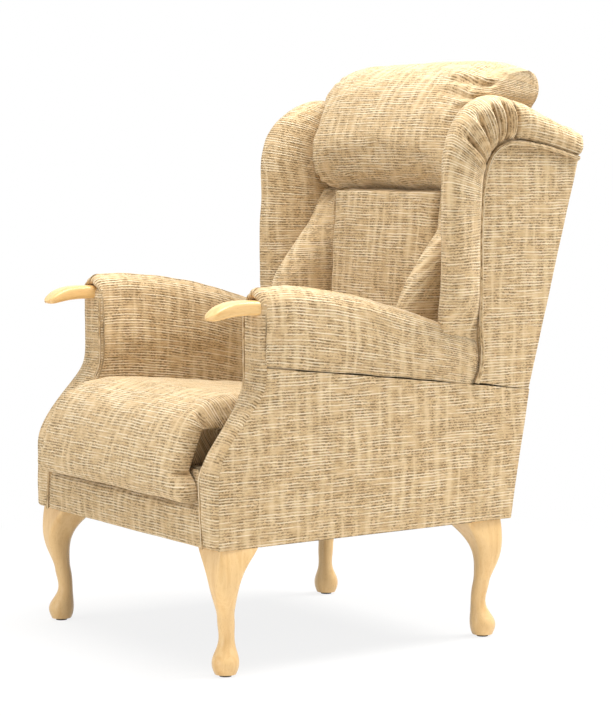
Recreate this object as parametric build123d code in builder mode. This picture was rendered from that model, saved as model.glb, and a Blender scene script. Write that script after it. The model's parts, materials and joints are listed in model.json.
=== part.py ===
from build123d import *
import math
import os

# Fireside chair with wings, lateral back pads and cabriole legs.
# Millimetres, +Z up, floor at z = 0. The chair faces -Y and +X is the sitter's left.
# The origin is on the floor, under the middle of the chair's length and width.
# Every side piece is made for the left and mirrored for the right.

# ---------------------------------------------------------------- driving dimensions

# Body, seen from above and from the side
body_half_front = 345.0  # outside of the arms at the front
body_half_rear = 300.0  # outside of the body at the rear
front_y = -416.0  # front of the facings and of the front border
base_y = 271.0  # rear face at the bottom edge
rake_y = 316.0  # rear face where its lean changes
rake_z = 473.0
crown_y = 453.0  # rear face at its top edge
crown_z = 961.0
leg_height = 228.0  # floor to the bottom edge of the body

# Inner faces of the arms and wings
arm_width_front = 77.0
wing_width_rear = 45.0
inner_half_front = body_half_front - arm_width_front
inner_half_wing = body_half_rear - wing_width_rear

# Sheet and board thicknesses
cloth_thickness = 2.0
panel_thickness = 5.0
inside_arm_thickness = 6.0
facing_thickness = 12.0
board_thickness = 28.0
upright_depth = 45.0
upright_inset = 75.0  # from the body's outside at the rear to the uprights' inner faces
upright_inner_half = body_half_rear - upright_inset
strap_thickness = 2.0

# Arms
arm_front_y = -312.0  # front of the arm above the seat
facing_upper_z = 508.0  # the facing starts to slope forward here
facing_lower_z = 389.0  # and is upright again below here
facing_radius = 60.0
facing_top_z = 664.0
post_depth = 60.0
seam_front_z = 545.0  # seam along the outside arm
seam_rear_z = 473.0
wing_seam_y = 184.0  # the arm pad ends and the wing piping stands here
arm_overhang = 4.0  # the pad stands this far over the facing
nose_drop = 12.0  # its front end is this much lower than the top behind it
nose_draw = 7.0  # and drawn in this much on each side
shoulder_share = 0.36  # radius of the pad's shoulders, as a share of its width
shoulder_drop = 3.0
# y and height of the arm pad's top
arm_tops = [(-300, 686), (-270, 690), (-235, 689), (-170, 680), (-82, 661), (7, 637), (98, 607), (190, 570)]

# Arm rails and hand grips
grip_underside_z = 638.0
grip_thickness = 26.0
grip_width = 45.0
grip_center_x = body_half_front - 0.8 * grip_width
grip_reach = 94.0  # in front of the arm
grip_root = 70.0  # inside the arm
rail_thickness = 22.0
rail_level_end_y = -225.0
rail_rear_z = 503.0
screw_radius = 2.2
screw_head_radius = 4.4
screw_length = 42.0
screw_setback = 27.0
screw_spacing = 27.0

# Seat
seat_slope = 4.7  # degrees, down to the rear
deck_front_z = 369.0  # top of the seat deck at the front
platform_thickness = 12.0
seat_rail_thickness = 28.0
side_rail_top_z = 320.0
cushion_thickness = 113.0
cushion_crown = 10.0
cushion_clearance = 6.0
cushion_half_front = inner_half_front - cushion_clearance
cushion_nose_y = -457.0
cushion_rear_y = 200.0
drop_bottom_z = 303.0  # underside of the cushion's drop front
drop_corner_y = -411.0  # the top would meet the drop front here, were it not rounded
drop_radius = 108.0
lip_radius = 15.0
lip_rear_radius = 6.0
cushion_top_radius = 24.0
cushion_base_radius = 10.0
end_drop = 10.0  # how much the ends of the cushion are drawn in: top, underside, nose
end_lift = 6.0
end_draw = 9.0
nose_bow = 4.0
zip_length = 360.0
zip_width = 12.0
zip_depth = 2.5
soft_gap = 0.3

# Springs
wire_radius = 1.9
spring_count = 5
spring_margin = 35.0  # outer springs to the uprights
spring_spacing = 2 * (upright_inner_half - spring_margin) / (spring_count - 1)
spring_width = 48.0
spring_pitch = 25.0
clip_length = 22.0
clip_width = 12.0
clip_wall = 0.4
clip_clearance = 0.1

# Wings
wing_front_y = 84.0
wing_brow_z = 953.0  # corners of the wing's outer line
wing_peak_y = 202.0
wing_peak_z = 1053.0
wing_brow_radius = 195.0
wing_peak_radius = 104.0
piping_knee_z = 890.0  # corners of the piping line
piping_peak_y = 252.0
piping_peak_z = 962.0
piping_rear_z = 920.0
piping_knee_radius = 60.0
piping_peak_radius = 40.0
roll_bulge = 28.0  # the roll stands this far outside the panel
roll_outer_share = 0.375  # fillets, as shares of the roll's thickness at the rear and of its bulge
roll_flare_share = 0.58  # its inner side falls away to the front, as the wing flares
roll_inner_share = 0.6
wing_board_setback = 38.0
piping_radius = 3.5
facing_piping_radius = 2.5
piping_gap = 0.3

# Back
strap_width = 50.0
strap_levels = [500.0, 580.0, 660.0, 740.0, 820.0, 895.0]
cross_rail_thickness = 25.0
cross_rail_setback = 12.0
lower_rail_z = 395.0
middle_rail_z = 640.0
top_rail_z = crown_z - 61.0
cross_rail_height = 45.0
side_pad_width = 78.0
pad_seam_x = inner_half_wing - side_pad_width
pad_seam_gap = 3.0
pad_wing_gap = 7.0
pad_bottom_z = 454.0
pillow_bottom_z = 852.0
pillow_wing_gap = 6.0
pillow_half = inner_half_wing - pillow_wing_gap
border_height = 24.0
border_crown = 8.0
border_radius = 18.0

# Legs
leg_top_side = 79.0
leg_inset_side = 5.0
leg_inset_front = 12.0
leg_inset_rear = 24.0
glide_radius = 11.0
glide_height = 4.0
bolt_radius = 4.0
bolt_in_leg = 40.0
bolt_in_block = 34.0
plate_side = 44.0
plate_thickness = 2.5
block_height = 42.0
block_leg = 82.0

# ---------------------------------------------------------------- lines that pieces share

side_angle = math.atan((body_half_front - body_half_rear) / (base_y - front_y))
inner_angle = math.atan((inner_half_front - inner_half_wing) / (wing_seam_y - arm_front_y))
frame_bottom_z = leg_height
wide = 1.2 * max(body_half_front, body_half_rear)  # further out than any side piece


def outer_x(y, inset=0.0):
    """Half width of the chair's outside at y, less an inset square to it."""
    return body_half_front - (y - front_y) * math.tan(side_angle) - inset / math.cos(side_angle)


def inner_x(y, outset=0.0):
    """Half width between the arms and wings at y, plus an outset."""
    return inner_half_front - (y - arm_front_y) * math.tan(inner_angle) + outset / math.cos(inner_angle)


def rear_y(z, inset=0.0):
    """Y of the leaning rear face at height z, less an inset along Y."""
    if z < rake_z:
        return rake_y + (z - rake_z) * (rake_y - base_y) / (rake_z - leg_height) - inset
    return rake_y + (z - rake_z) * (crown_y - rake_y) / (crown_z - rake_z) - inset


def seam_z(y):
    """Height of the seam along the outside arm."""
    return seam_front_z + (y - arm_front_y) * (seam_rear_z - seam_front_z) / (rake_y - arm_front_y)


def deck_z(y):
    """Height of the sloping seat deck that the cushion lies on."""
    return deck_front_z - (y - front_y) * math.tan(math.radians(seat_slope))


def rail_z(y):
    """Top of the arm rail: level under the hand grip, then sloping to the back."""
    if y < rail_level_end_y:
        return grip_underside_z
    rail_rear_y = rear_y(rail_rear_z, panel_thickness)
    fall = (grip_underside_z - rail_rear_z) / (rail_rear_y - rail_level_end_y)
    return grip_underside_z - (y - rail_level_end_y) * fall


def upright_plane(half_width, y, angle, side=1):
    """Upright plane at a half width, facing outwards and turned to follow a taper."""
    turned = Vector(math.cos(angle), math.sin(angle), 0)
    along = Vector(-math.sin(angle), math.cos(angle), 0)
    if side < 0:
        turned = Vector(-turned.X, turned.Y, 0)
        along = Vector(along.X, -along.Y, 0)
    return Plane(origin=(side * half_width, y, 0), x_dir=along, z_dir=turned)


def outer_plane(inset=0.0, side=1):
    """Plane of the chair's outside, moved in by an inset."""
    return upright_plane(outer_x(front_y, inset), front_y, side_angle, side)


def inner_plane(outset=0.0, side=1):
    """Plane of the arms' and wings' inner faces, moved out by an outset."""
    return upright_plane(inner_x(arm_front_y, outset), arm_front_y, inner_angle, side)


def rear_plane(inset=0.0):
    """Plane of the rear face above the change of lean, facing back."""
    lean = Vector(0, crown_z - rake_z, rake_y - crown_y)
    return Plane(origin=(0, crown_y - inset, crown_z), x_dir=(1, 0, 0), z_dir=lean.normalized())


def parallel(corners, shift):
    """The corners of an open line of straight runs, moved to its left by shift."""
    points = [Vector(*corner) for corner in corners]
    runs = [(after - before).normalized() for before, after in zip(points, points[1:])]
    sides = [Vector(-run.Y, run.X) for run in runs]
    moved = [points[0] + sides[0] * shift]
    for point, side, next_side in zip(points[1:], sides, sides[1:]):
        moved.append(point + (side + next_side) * (shift / (1 + side.dot(next_side))))
    moved.append(points[-1] + sides[-1] * shift)
    return [(point.X, point.Y) for point in moved]


def facing_line(shift, top_z, bottom_z):
    """The S-shaped front of the arm, moved back by shift, as (y, z, radius)."""
    return [
        (arm_front_y + shift, top_z),
        (arm_front_y + shift, facing_upper_z, facing_radius),
        (front_y + shift, facing_lower_z, facing_radius),
        (front_y + shift, bottom_z),
    ]


def rounded_line(corners, radii):
    """Corners with the radii of the corners between the two ends."""
    inner = [(corner[0], corner[1], radius) for corner, radius in zip(corners[1:-1], radii)]
    return [corners[0]] + inner + [corners[-1]]


wing_line = [
    (wing_front_y, seam_front_z),
    (wing_front_y, wing_brow_z),
    (wing_peak_y, wing_peak_z),
    (crown_y, crown_z),
]
piping_line = [
    (wing_seam_y, seam_front_z),
    (wing_seam_y, piping_knee_z),
    (piping_peak_y, piping_peak_z),
    (crown_y, piping_rear_z),
]


# ---------------------------------------------------------------- ways of making pieces


def closed_outline(corners):
    """Closed line through corners, each (across, up) or (across, up, radius)."""
    points = [corner[:2] for corner in corners]
    radii = [corner[2] if len(corner) > 2 else 0 for corner in corners]
    FilletPolyline(*points, radius=radii, close=True)


def side_slab(corners, inside, outside):
    """Left side piece: a side outline, kept between two upright planes."""
    with BuildPart() as piece:
        with BuildSketch(Plane.YZ):
            with BuildLine():
                closed_outline(corners)
            make_face()
        extrude(amount=wide)
        split(bisect_by=outside, keep=Keep.BOTTOM)
        split(bisect_by=inside, keep=Keep.TOP)
    return piece


def cross_slab(corners, half_width=None, inset=None):
    """Piece across the chair: a side outline, ended square or at the side planes."""
    with BuildPart() as piece:
        with BuildSketch(Plane.YZ):
            with BuildLine():
                closed_outline(corners)
            make_face()
        extrude(amount=half_width or wide, both=True)
        if half_width is None:
            split(bisect_by=outer_plane(inset), keep=Keep.BOTTOM)
            split(bisect_by=outer_plane(inset, -1), keep=Keep.BOTTOM)
    return piece


def leaning_band(low_z, high_z, front_inset, rear_inset):
    """Outline of a band that follows the leaning rear face between two heights."""
    levels = [low_z, high_z]
    if low_z < rake_z < high_z:
        levels = [low_z, rake_z, high_z]
    rear = [(rear_y(z, rear_inset), z) for z in levels]
    front = [(rear_y(z, front_inset), z) for z in reversed(levels)]
    return rear + front


def save(piece, name):
    """Label a finished piece and write it."""
    piece.part.label = name
    export_step(piece.part, f"parts/{name}.step")


def save_pair(left, name):
    """Write a left piece and its mirror image."""
    save(left, f"{name}_left")
    with BuildPart() as right:
        add(left.part)
        mirror(about=Plane.YZ, mode=Mode.REPLACE)
    save(right, f"{name}_right")


os.makedirs("parts", exist_ok=True)

# ---------------------------------------------------------------- seat frame

clip_thickness = 2 * (wire_radius + clip_clearance + clip_wall)
slope = math.radians(seat_slope)
rail_drop = (platform_thickness + clip_thickness) / math.cos(slope)
rail_front_y = front_y + facing_thickness
rail_back_y = rail_front_y + seat_rail_thickness

front_rail = cross_slab(
    [
        (rail_front_y, frame_bottom_z),
        (rail_back_y, frame_bottom_z),
        (rail_back_y, deck_z(rail_back_y) - rail_drop),
        (rail_front_y, deck_z(rail_front_y) - rail_drop),
    ],
    inset=panel_thickness + board_thickness,
)
save(front_rail, "front_seat_rail")

rear_rail_y = rear_y(leg_height, panel_thickness)
rear_rail = cross_slab(
    [
        (rear_rail_y - seat_rail_thickness, frame_bottom_z),
        (rear_rail_y, frame_bottom_z),
        (rear_rail_y, deck_z(rear_rail_y) - rail_drop),
        (rear_rail_y - seat_rail_thickness, deck_z(rear_rail_y - seat_rail_thickness) - rail_drop),
    ],
    half_width=upright_inner_half,
)
save(rear_rail, "rear_seat_rail")

board_inside = outer_plane(panel_thickness + board_thickness)
board_outside = outer_plane(panel_thickness)

side_rail = side_slab(
    [
        (rail_front_y + post_depth, frame_bottom_z),
        (rear_y(frame_bottom_z, panel_thickness), frame_bottom_z),
        (rear_y(side_rail_top_z, panel_thickness), side_rail_top_z),
        (rail_front_y + post_depth, side_rail_top_z),
    ],
    board_inside,
    board_outside,
)
save_pair(side_rail, "side_seat_rail")

# Arm posts: boards with the S shape of the facings, from the seat frame to the arm rails
post_top_z = grip_underside_z - rail_thickness
arm_post = side_slab(
    facing_line(facing_thickness, post_top_z, frame_bottom_z)
    + facing_line(facing_thickness + post_depth, post_top_z, frame_bottom_z)[::-1],
    board_inside,
    board_outside,
)
save_pair(arm_post, "arm_post")

# Arm rails: level where the hand grip sits, with a wider front end there
arm_rail_corners = [
    (arm_front_y + facing_thickness, grip_underside_z),
    (rail_level_end_y, grip_underside_z),
    (rear_y(rail_rear_z, panel_thickness), rail_rear_z),
    (rear_y(rail_rear_z - rail_thickness, panel_thickness), rail_rear_z - rail_thickness),
    (rail_level_end_y, grip_underside_z - rail_thickness),
    (arm_front_y + facing_thickness, grip_underside_z - rail_thickness),
]
grip_inner_x = grip_center_x - grip_width / 2
with BuildPart() as grip_screws_left:
    for row in range(2):
        screw_y = arm_front_y + screw_setback + row * screw_spacing
        grip_top_z = grip_underside_z + grip_thickness
        with Locations((grip_center_x, screw_y, grip_top_z - screw_length / 2)):
            Cylinder(screw_radius, screw_length)
        head_height = screw_head_radius - screw_radius
        with Locations((grip_center_x, screw_y, grip_top_z - head_height / 2)):
            Cone(screw_radius, screw_head_radius, head_height)
with BuildPart() as grip_screws:
    add(grip_screws_left.part)
    mirror(about=Plane.YZ)
save(grip_screws, "grip_screws")

arm_rail = side_slab(arm_rail_corners, board_inside, board_outside)
with BuildPart() as arm_rail_wide:
    add(arm_rail.part)
    with BuildSketch(Plane.XY.offset(grip_underside_z - rail_thickness)):
        with BuildLine():
            Polyline(
                (grip_inner_x, arm_front_y + facing_thickness),
                (outer_x(arm_front_y, panel_thickness + board_thickness / 2), arm_front_y + facing_thickness),
                (outer_x(rail_level_end_y, panel_thickness + board_thickness / 2), rail_level_end_y),
                (grip_inner_x, rail_level_end_y),
                close=True,
            )
        make_face()
    extrude(amount=rail_thickness)
    add(grip_screws_left.part, mode=Mode.SUBTRACT)
save_pair(arm_rail_wide, "arm_rail")

# ---------------------------------------------------------------- back frame

upright = side_slab(
    leaning_band(frame_bottom_z, top_rail_z + cross_rail_height, panel_thickness + upright_depth, panel_thickness),
    Plane.YZ.offset(upright_inner_half),
    board_inside,
)
save_pair(upright, "back_upright")

cross_front = panel_thickness + upright_depth - cross_rail_setback
for rail_name, rail_low_z in (
    ("lower_back_rail", lower_rail_z),
    ("middle_back_rail", middle_rail_z),
    ("top_back_rail", top_rail_z),
):
    cross_rail = cross_slab(
        leaning_band(rail_low_z, rail_low_z + cross_rail_height, cross_front, cross_front - cross_rail_thickness),
        half_width=upright_inner_half,
    )
    save(cross_rail, rail_name)

# Elastic straps across the front of the uprights
upright_front = panel_thickness + upright_depth
with BuildPart() as back_webbing:
    for level in strap_levels:
        strap = cross_slab(
            leaning_band(level - strap_width / 2, level + strap_width / 2, upright_front + strap_thickness, upright_front),
            inset=panel_thickness + board_thickness,
        )
        add(strap.part)
save(back_webbing, "back_webbing")

# Wing boards stand on the arm rails and are screwed to the uprights
board_line = parallel(wing_line, -wing_board_setback)
board_front_y = wing_front_y + wing_board_setback
board_low_y = rear_y(rail_rear_z, panel_thickness)
board_corners = rounded_line(board_line, [wing_brow_radius - wing_board_setback, wing_peak_radius - wing_board_setback])
board_top = board_corners[-1]
wing_board = side_slab(
    [(board_front_y, rail_z(board_front_y))]
    + board_corners[1:-1]
    + [(board_top[0] + wing_board_setback, board_top[1] - wing_board_setback / 2), (board_low_y + wing_board_setback, rail_rear_z)]
    + [(board_low_y, rail_rear_z)],
    board_inside,
    board_outside,
)
with BuildPart() as wing_board_cut:
    add(wing_board.part)
    split(bisect_by=rear_plane(panel_thickness), keep=Keep.BOTTOM)
save_pair(wing_board_cut, "wing_board")

# ---------------------------------------------------------------- corner blocks, legs and their bolts

front_leg_x = body_half_front - leg_inset_side - leg_top_side / 2
front_leg_y = front_y + leg_inset_front + leg_top_side / 2
rear_leg_y = base_y - leg_inset_rear - leg_top_side / 2
rear_leg_x = outer_x(base_y - leg_inset_rear, leg_inset_side) - leg_top_side / 2

# Height, shift towards the outer corner, side and corner radius of the leg's sections
leg_sections = [
    (4, 21.5, 38, 18.5),
    (16, 21.7, 47, 23.0),
    (32, 20.5, 47, 23.0),
    (51, 15.0, 34, 16.6),
    (79, 13.6, 29, 14.2),
    (108, 19.0, 31, 15.0),
    (139, 26.0, 41, 17.5),
    (164, 28.0, 50, 18.0),
    (189, 22.0, 60, 15.0),
    (213, 9.0, 73, 9.0),
    (frame_bottom_z, 0.0, leg_top_side, 3.0),
]


def cabriole_leg(x, y, outward_y):
    """Leg lofted through rounded squares that move out and back along the corner's diagonal."""
    with BuildPart() as leg:
        for height, shift, side, radius in leg_sections:
            reach = shift / math.sqrt(2)
            with BuildSketch(Plane(origin=(x + reach, y + outward_y * reach, height))):
                RectangleRounded(side, side, radius)
        loft()
    return leg


front_leg = cabriole_leg(front_leg_x, front_leg_y, -1)
rear_leg = cabriole_leg(rear_leg_x, rear_leg_y, 1)

# One hanger bolt up through each plate into its corner block
with BuildPart() as leg_bolts_left:
    for bolt_x, bolt_y in ((front_leg_x, front_leg_y), (rear_leg_x, rear_leg_y)):
        with Locations((bolt_x, bolt_y, frame_bottom_z + (bolt_in_block - bolt_in_leg) / 2)):
            Cylinder(bolt_radius, bolt_in_block + bolt_in_leg)
with BuildPart() as leg_bolts:
    add(leg_bolts_left.part)
    mirror(about=Plane.YZ)
save(leg_bolts, "leg_bolts")

for leg, leg_name in ((front_leg, "front_leg"), (rear_leg, "rear_leg")):
    with BuildPart() as drilled_leg:
        add(leg.part)
        add(leg_bolts_left.part, mode=Mode.SUBTRACT)
    save_pair(drilled_leg, leg_name)

upright_front_y = rear_y(frame_bottom_z, upright_front)
corner_x = outer_x(rail_back_y + block_leg, panel_thickness + board_thickness)
rear_corner_x = outer_x(upright_front_y, panel_thickness + board_thickness)
with BuildPart() as leg_plates_left:
    with Locations((corner_x - plate_side / 2 - 1, rail_back_y + plate_side / 2 + 1, frame_bottom_z + plate_thickness / 2)):
        Box(plate_side, plate_side, plate_thickness)
    with Locations((rear_corner_x - plate_side / 2 - 1, upright_front_y - plate_side / 2 - 1, frame_bottom_z + plate_thickness / 2)):
        Box(plate_side, plate_side, plate_thickness)
    add(leg_bolts_left.part, mode=Mode.SUBTRACT)
with BuildPart() as leg_plates:
    add(leg_plates_left.part)
    mirror(about=Plane.YZ)
save(leg_plates, "leg_plates")

with BuildPart() as corner_blocks_left:
    with BuildSketch(Plane.XY.offset(frame_bottom_z + plate_thickness)):
        with BuildLine():
            Polyline(
                (wide, rail_back_y),
                (corner_x - block_leg, rail_back_y),
                (corner_x, rail_back_y + block_leg),
                (wide, rail_back_y + block_leg),
                close=True,
            )
        make_face()
        with BuildLine():
            Polyline(
                (wide, upright_front_y),
                (upright_inner_half, upright_front_y),
                (upright_inner_half, upright_front_y - plate_side / 2),
                (rear_corner_x, upright_front_y - block_leg),
                (wide, upright_front_y - block_leg),
                close=True,
            )
        make_face()
    extrude(amount=block_height)
    split(bisect_by=board_inside, keep=Keep.BOTTOM)
    add(leg_bolts_left.part, mode=Mode.SUBTRACT)
with BuildPart() as corner_blocks:
    add(corner_blocks_left.part)
    mirror(about=Plane.YZ)
save(corner_blocks, "corner_blocks")

foot_shift = leg_sections[0][1] / math.sqrt(2)
with BuildPart() as glides:
    for leg_x, leg_y in (
        (front_leg_x + foot_shift, front_leg_y - foot_shift),
        (rear_leg_x + foot_shift, rear_leg_y + foot_shift),
    ):
        with Locations((leg_x, leg_y, glide_height / 2), (-leg_x, leg_y, glide_height / 2)):
            Cylinder(glide_radius, glide_height)
save(glides, "glides")

# ---------------------------------------------------------------- hand grips

grip_back_y = arm_front_y + grip_root
grip_tip_y = arm_front_y - grip_reach
with BuildPart() as hand_grip:
    with BuildSketch(Plane.YZ.offset(grip_center_x - grip_width / 2)):
        with BuildLine():
            closed_outline(
                [
                    (grip_back_y, grip_underside_z),
                    (arm_front_y - 10, grip_underside_z),
                    (grip_tip_y, grip_underside_z - 9, 7),
                    (grip_tip_y - 4, grip_underside_z + 14, 12),
                    (grip_tip_y + 22, grip_underside_z + grip_thickness + 1, 40),
                    (grip_tip_y + 70, grip_underside_z + grip_thickness, 60),
                    (grip_back_y, grip_underside_z + grip_thickness),
                ]
            )
        make_face()
    extrude(amount=grip_width)
    with BuildSketch(Plane.XY.offset(grip_underside_z - 30)):
        with BuildLine():
            closed_outline(
                [
                    (grip_center_x - grip_width / 2, grip_back_y),
                    (grip_center_x - grip_width / 2 - 1, grip_tip_y - 6, 19),
                    (grip_center_x + grip_width / 2 + 1, grip_tip_y - 6, 19),
                    (grip_center_x + grip_width / 2, grip_back_y),
                ]
            )
        make_face()
    extrude(amount=2 * grip_thickness + 30, mode=Mode.INTERSECT)
    add(grip_screws_left.part, mode=Mode.SUBTRACT)
save_pair(hand_grip, "hand_grip")

# ---------------------------------------------------------------- arms

with BuildPart() as arm_pad:
    for index, (y, top_z) in enumerate([(arm_front_y - arm_overhang, arm_tops[0][1] - nose_drop)] + arm_tops):
        drawn = nose_draw if index == 0 else 0.0
        low_x = inner_x(y) + drawn
        high_x = outer_x(y) - drawn
        radius = shoulder_share * (high_x - low_x)
        with BuildSketch(Plane.XZ.offset(-y)):
            with BuildLine():
                closed_outline(
                    [
                        (low_x, seam_z(y)),
                        (low_x, top_z - shoulder_drop, radius),
                        ((low_x + high_x) / 2, top_z + 1, radius),
                        (high_x, top_z - shoulder_drop, radius),
                        (high_x, seam_z(y)),
                    ]
                )
            make_face()
    loft(ruled=True)
    split(bisect_by=Plane.XZ.offset(-wing_seam_y), keep=Keep.TOP)
    with BuildSketch(Plane.XZ.offset(-(arm_front_y + facing_thickness))):
        with Locations(((body_half_front + inner_half_front) / 2, (facing_top_z + seam_rear_z) / 2)):
            Rectangle(wide / 2, facing_top_z - seam_rear_z)
    extrude(amount=wide / 2, mode=Mode.SUBTRACT)
    for hidden in (arm_post, arm_rail_wide, hand_grip, grip_screws_left, wing_board_cut):
        add(hidden.part, mode=Mode.SUBTRACT)
save_pair(arm_pad, "arm_pad")

arm_facing = side_slab(
    facing_line(0, facing_top_z, leg_height) + facing_line(facing_thickness, facing_top_z, leg_height)[::-1],
    inner_plane(),
    outer_plane(),
)
with BuildPart() as arm_facing_cut:
    add(arm_facing.part)
    add(hand_grip.part, mode=Mode.SUBTRACT)
save_pair(arm_facing_cut, "arm_facing")

outside_arm = side_slab(
    facing_line(facing_thickness, seam_z(arm_front_y + facing_thickness), leg_height)
    + [(base_y, leg_height), (rake_y, rake_z)],
    board_outside,
    outer_plane(),
)
save_pair(outside_arm, "outside_arm")

inside_arm_rear_z = deck_z(rake_y) - platform_thickness
inside_front = facing_line(facing_thickness, seam_z(arm_front_y + facing_thickness), 0)[:-1]
inside_arm = side_slab(
    inside_front
    + [
        (rail_front_y, deck_z(rail_front_y) - platform_thickness),
        (rear_y(inside_arm_rear_z, upright_front + strap_thickness), inside_arm_rear_z),
        (rear_y(rake_z, upright_front + strap_thickness), rake_z),
        (rear_y(rake_z, upright_front + strap_thickness), seam_z(rear_y(rake_z, upright_front + strap_thickness))),
    ],
    inner_plane(),
    inner_plane(inside_arm_thickness),
)
save_pair(inside_arm, "inside_arm")

# Thin piping down the inner edge of each facing, in front of it
with BuildPart() as facing_piping:
    with BuildLine(Plane.YZ.offset(inner_half_front + 2 * facing_piping_radius)) as facing_piping_path:
        edge_line = [corner[:2] for corner in facing_line(0, grip_underside_z - 14, leg_height + 2)]
        FilletPolyline(*parallel(edge_line, -(facing_piping_radius + piping_gap)), radius=facing_radius)
    start = facing_piping_path.line
    with BuildSketch(Plane(origin=start @ 0, z_dir=start % 0)):
        Circle(facing_piping_radius)
    sweep(path=facing_piping_path.line)
save_pair(facing_piping, "facing_piping")

# ---------------------------------------------------------------- outside back and wings

outside_back = cross_slab(leaning_band(leg_height, crown_z, panel_thickness, 0), inset=panel_thickness)
save(outside_back, "outside_back")

roll_thickness = outer_x(crown_y) + roll_bulge - inner_x(crown_y)
wing_corners = rounded_line(wing_line, [wing_brow_radius, wing_peak_radius])
piping_corners = rounded_line(piping_line, [piping_knee_radius, piping_peak_radius])
wing_roll = side_slab(wing_corners + piping_corners[::-1], inner_plane(), outer_plane(-roll_bulge))


def side_face(piece, side):
    """The largest face that looks outwards, side 1, or inwards, side -1."""
    faces = piece.faces().filter_by(lambda face: side * face.normal_at().X > 0.9)
    return faces.sort_by(SortBy.AREA)[-1]


def front_run(face):
    """Edges of a wing roll's side face that follow the wing's front and top line."""
    middle_y = (wing_front_y + wing_seam_y) / 2
    edges = face.edges().filter_by(lambda edge: edge.length > 1)
    edges = edges.filter_by(lambda edge: abs(edge.tangent_at(0.5).Y) < 0.99)
    edges = edges.filter_by(lambda edge: edge.center().Y < middle_y or edge.center().Z > piping_peak_z + 5)
    return edges.filter_by(lambda edge: edge.center().Y < crown_y - 8)


def piping_run(face):
    """Edges of a wing roll's side face that follow the piping line."""
    middle_y = (wing_front_y + wing_seam_y) / 2
    edges = face.edges().filter_by(lambda edge: middle_y + 5 < edge.center().Y < crown_y - 8)
    return edges.filter_by(lambda edge: edge.center().Z < piping_peak_z + 5)


with BuildPart() as wing_roll_round:
    add(wing_roll.part)
    fillet(front_run(side_face(wing_roll_round, 1)), radius=roll_outer_share * roll_thickness)
    fillet(front_run(side_face(wing_roll_round, -1)), radius=roll_flare_share * roll_thickness)
    fillet(piping_run(side_face(wing_roll_round, 1)), radius=roll_inner_share * roll_bulge)
    split(bisect_by=rear_plane(), keep=Keep.BOTTOM)
    for hidden in (arm_pad, wing_board_cut, arm_rail_wide, upright, outside_back):
        add(hidden.part, mode=Mode.SUBTRACT)
save_pair(wing_roll_round, "wing_roll")

inside_wing = side_slab(
    [(wing_seam_y, seam_z(wing_seam_y))]
    + piping_corners[1:-1]
    + [(crown_y, piping_rear_z), (rear_y(rake_z, upright_front + strap_thickness), rake_z + 6)],
    inner_plane(),
    board_inside,
)
with BuildPart() as inside_wing_cut:
    add(inside_wing.part)
    split(bisect_by=rear_plane(upright_front + strap_thickness), keep=Keep.BOTTOM)
    add(inside_arm.part, mode=Mode.SUBTRACT)
    add(arm_rail_wide.part, mode=Mode.SUBTRACT)
save_pair(inside_wing_cut, "inside_wing")

outside_wing = side_slab(
    [(wing_seam_y, seam_z(wing_seam_y))] + piping_corners[1:-1] + [(crown_y, piping_rear_z), (crown_y + 10, seam_rear_z), (rake_y, seam_rear_z)],
    board_outside,
    outer_plane(),
)
with BuildPart() as outside_wing_cut:
    add(outside_wing.part)
    split(bisect_by=rear_plane(), keep=Keep.BOTTOM)
save_pair(outside_wing_cut, "outside_wing")

# Piping on the outside wing, against the roll
piping_shift = parallel(piping_line, -(piping_radius + piping_gap))
side_sheet = outer_plane(-piping_radius)
with BuildPart() as wing_piping:
    with BuildLine(side_sheet) as wing_piping_path:
        points = [((y - front_y) / math.cos(side_angle), z) for y, z in piping_shift]
        points[0] = (points[0][0], seam_z(wing_seam_y) + 6)
        FilletPolyline(*points, radius=[piping_knee_radius, piping_peak_radius])
    start = wing_piping_path.line
    with BuildSketch(Plane(origin=start @ 0, z_dir=start % 0)):
        Circle(piping_radius)
    sweep(path=wing_piping_path.line)
    add(wing_roll_round.part, mode=Mode.SUBTRACT)
save_pair(wing_piping, "wing_piping")

# ---------------------------------------------------------------- covers of the back and base

border_low_z = top_rail_z + cross_rail_height
with BuildPart() as back_top_border:
    border = cross_slab(
        [
            (rear_y(border_low_z, panel_thickness), border_low_z),
            (crown_y - panel_thickness, crown_z),
            (crown_y, crown_z),
            (crown_y - border_crown / 2, crown_z + border_height, border_radius),
            (rear_y(crown_z, upright_front + strap_thickness + border_crown), crown_z + border_height + border_crown, border_radius),
            (rear_y(border_low_z, upright_front + strap_thickness), border_low_z),
        ],
        half_width=inner_x(crown_y) - 1,
    )
    add(border.part)
save(back_top_border, "back_top_border")

front_border = cross_slab(
    [
        (front_y, leg_height),
        (rail_front_y, leg_height),
        (rail_front_y, deck_z(rail_front_y)),
        (front_y, deck_z(front_y), 4),
    ],
    half_width=inner_x(front_y),
)
with BuildPart() as front_border_cut:
    add(front_border.part)
    for side in (1, -1):
        split(bisect_by=inner_plane(0, side), keep=Keep.BOTTOM)
save(front_border_cut, "front_border")

with BuildPart() as base_cloth:
    cloth_front = rail_front_y
    cloth_rear = rear_y(leg_height, panel_thickness)
    with BuildSketch(Plane.XY.offset(leg_height - cloth_thickness)):
        with BuildLine():
            Polyline(
                (outer_x(cloth_front, panel_thickness), cloth_front),
                (outer_x(cloth_rear, panel_thickness), cloth_rear),
                (-outer_x(cloth_rear, panel_thickness), cloth_rear),
                (-outer_x(cloth_front, panel_thickness), cloth_front),
                close=True,
            )
        make_face()
        for leg_x, leg_y in ((front_leg_x, front_leg_y), (rear_leg_x, rear_leg_y)):
            with Locations((leg_x, leg_y), (-leg_x, leg_y)):
                Rectangle(leg_top_side + 8, leg_top_side + 8, mode=Mode.SUBTRACT)
    extrude(amount=cloth_thickness)
save(base_cloth, "base_cloth")

# ---------------------------------------------------------------- seat springs and deck

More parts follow.
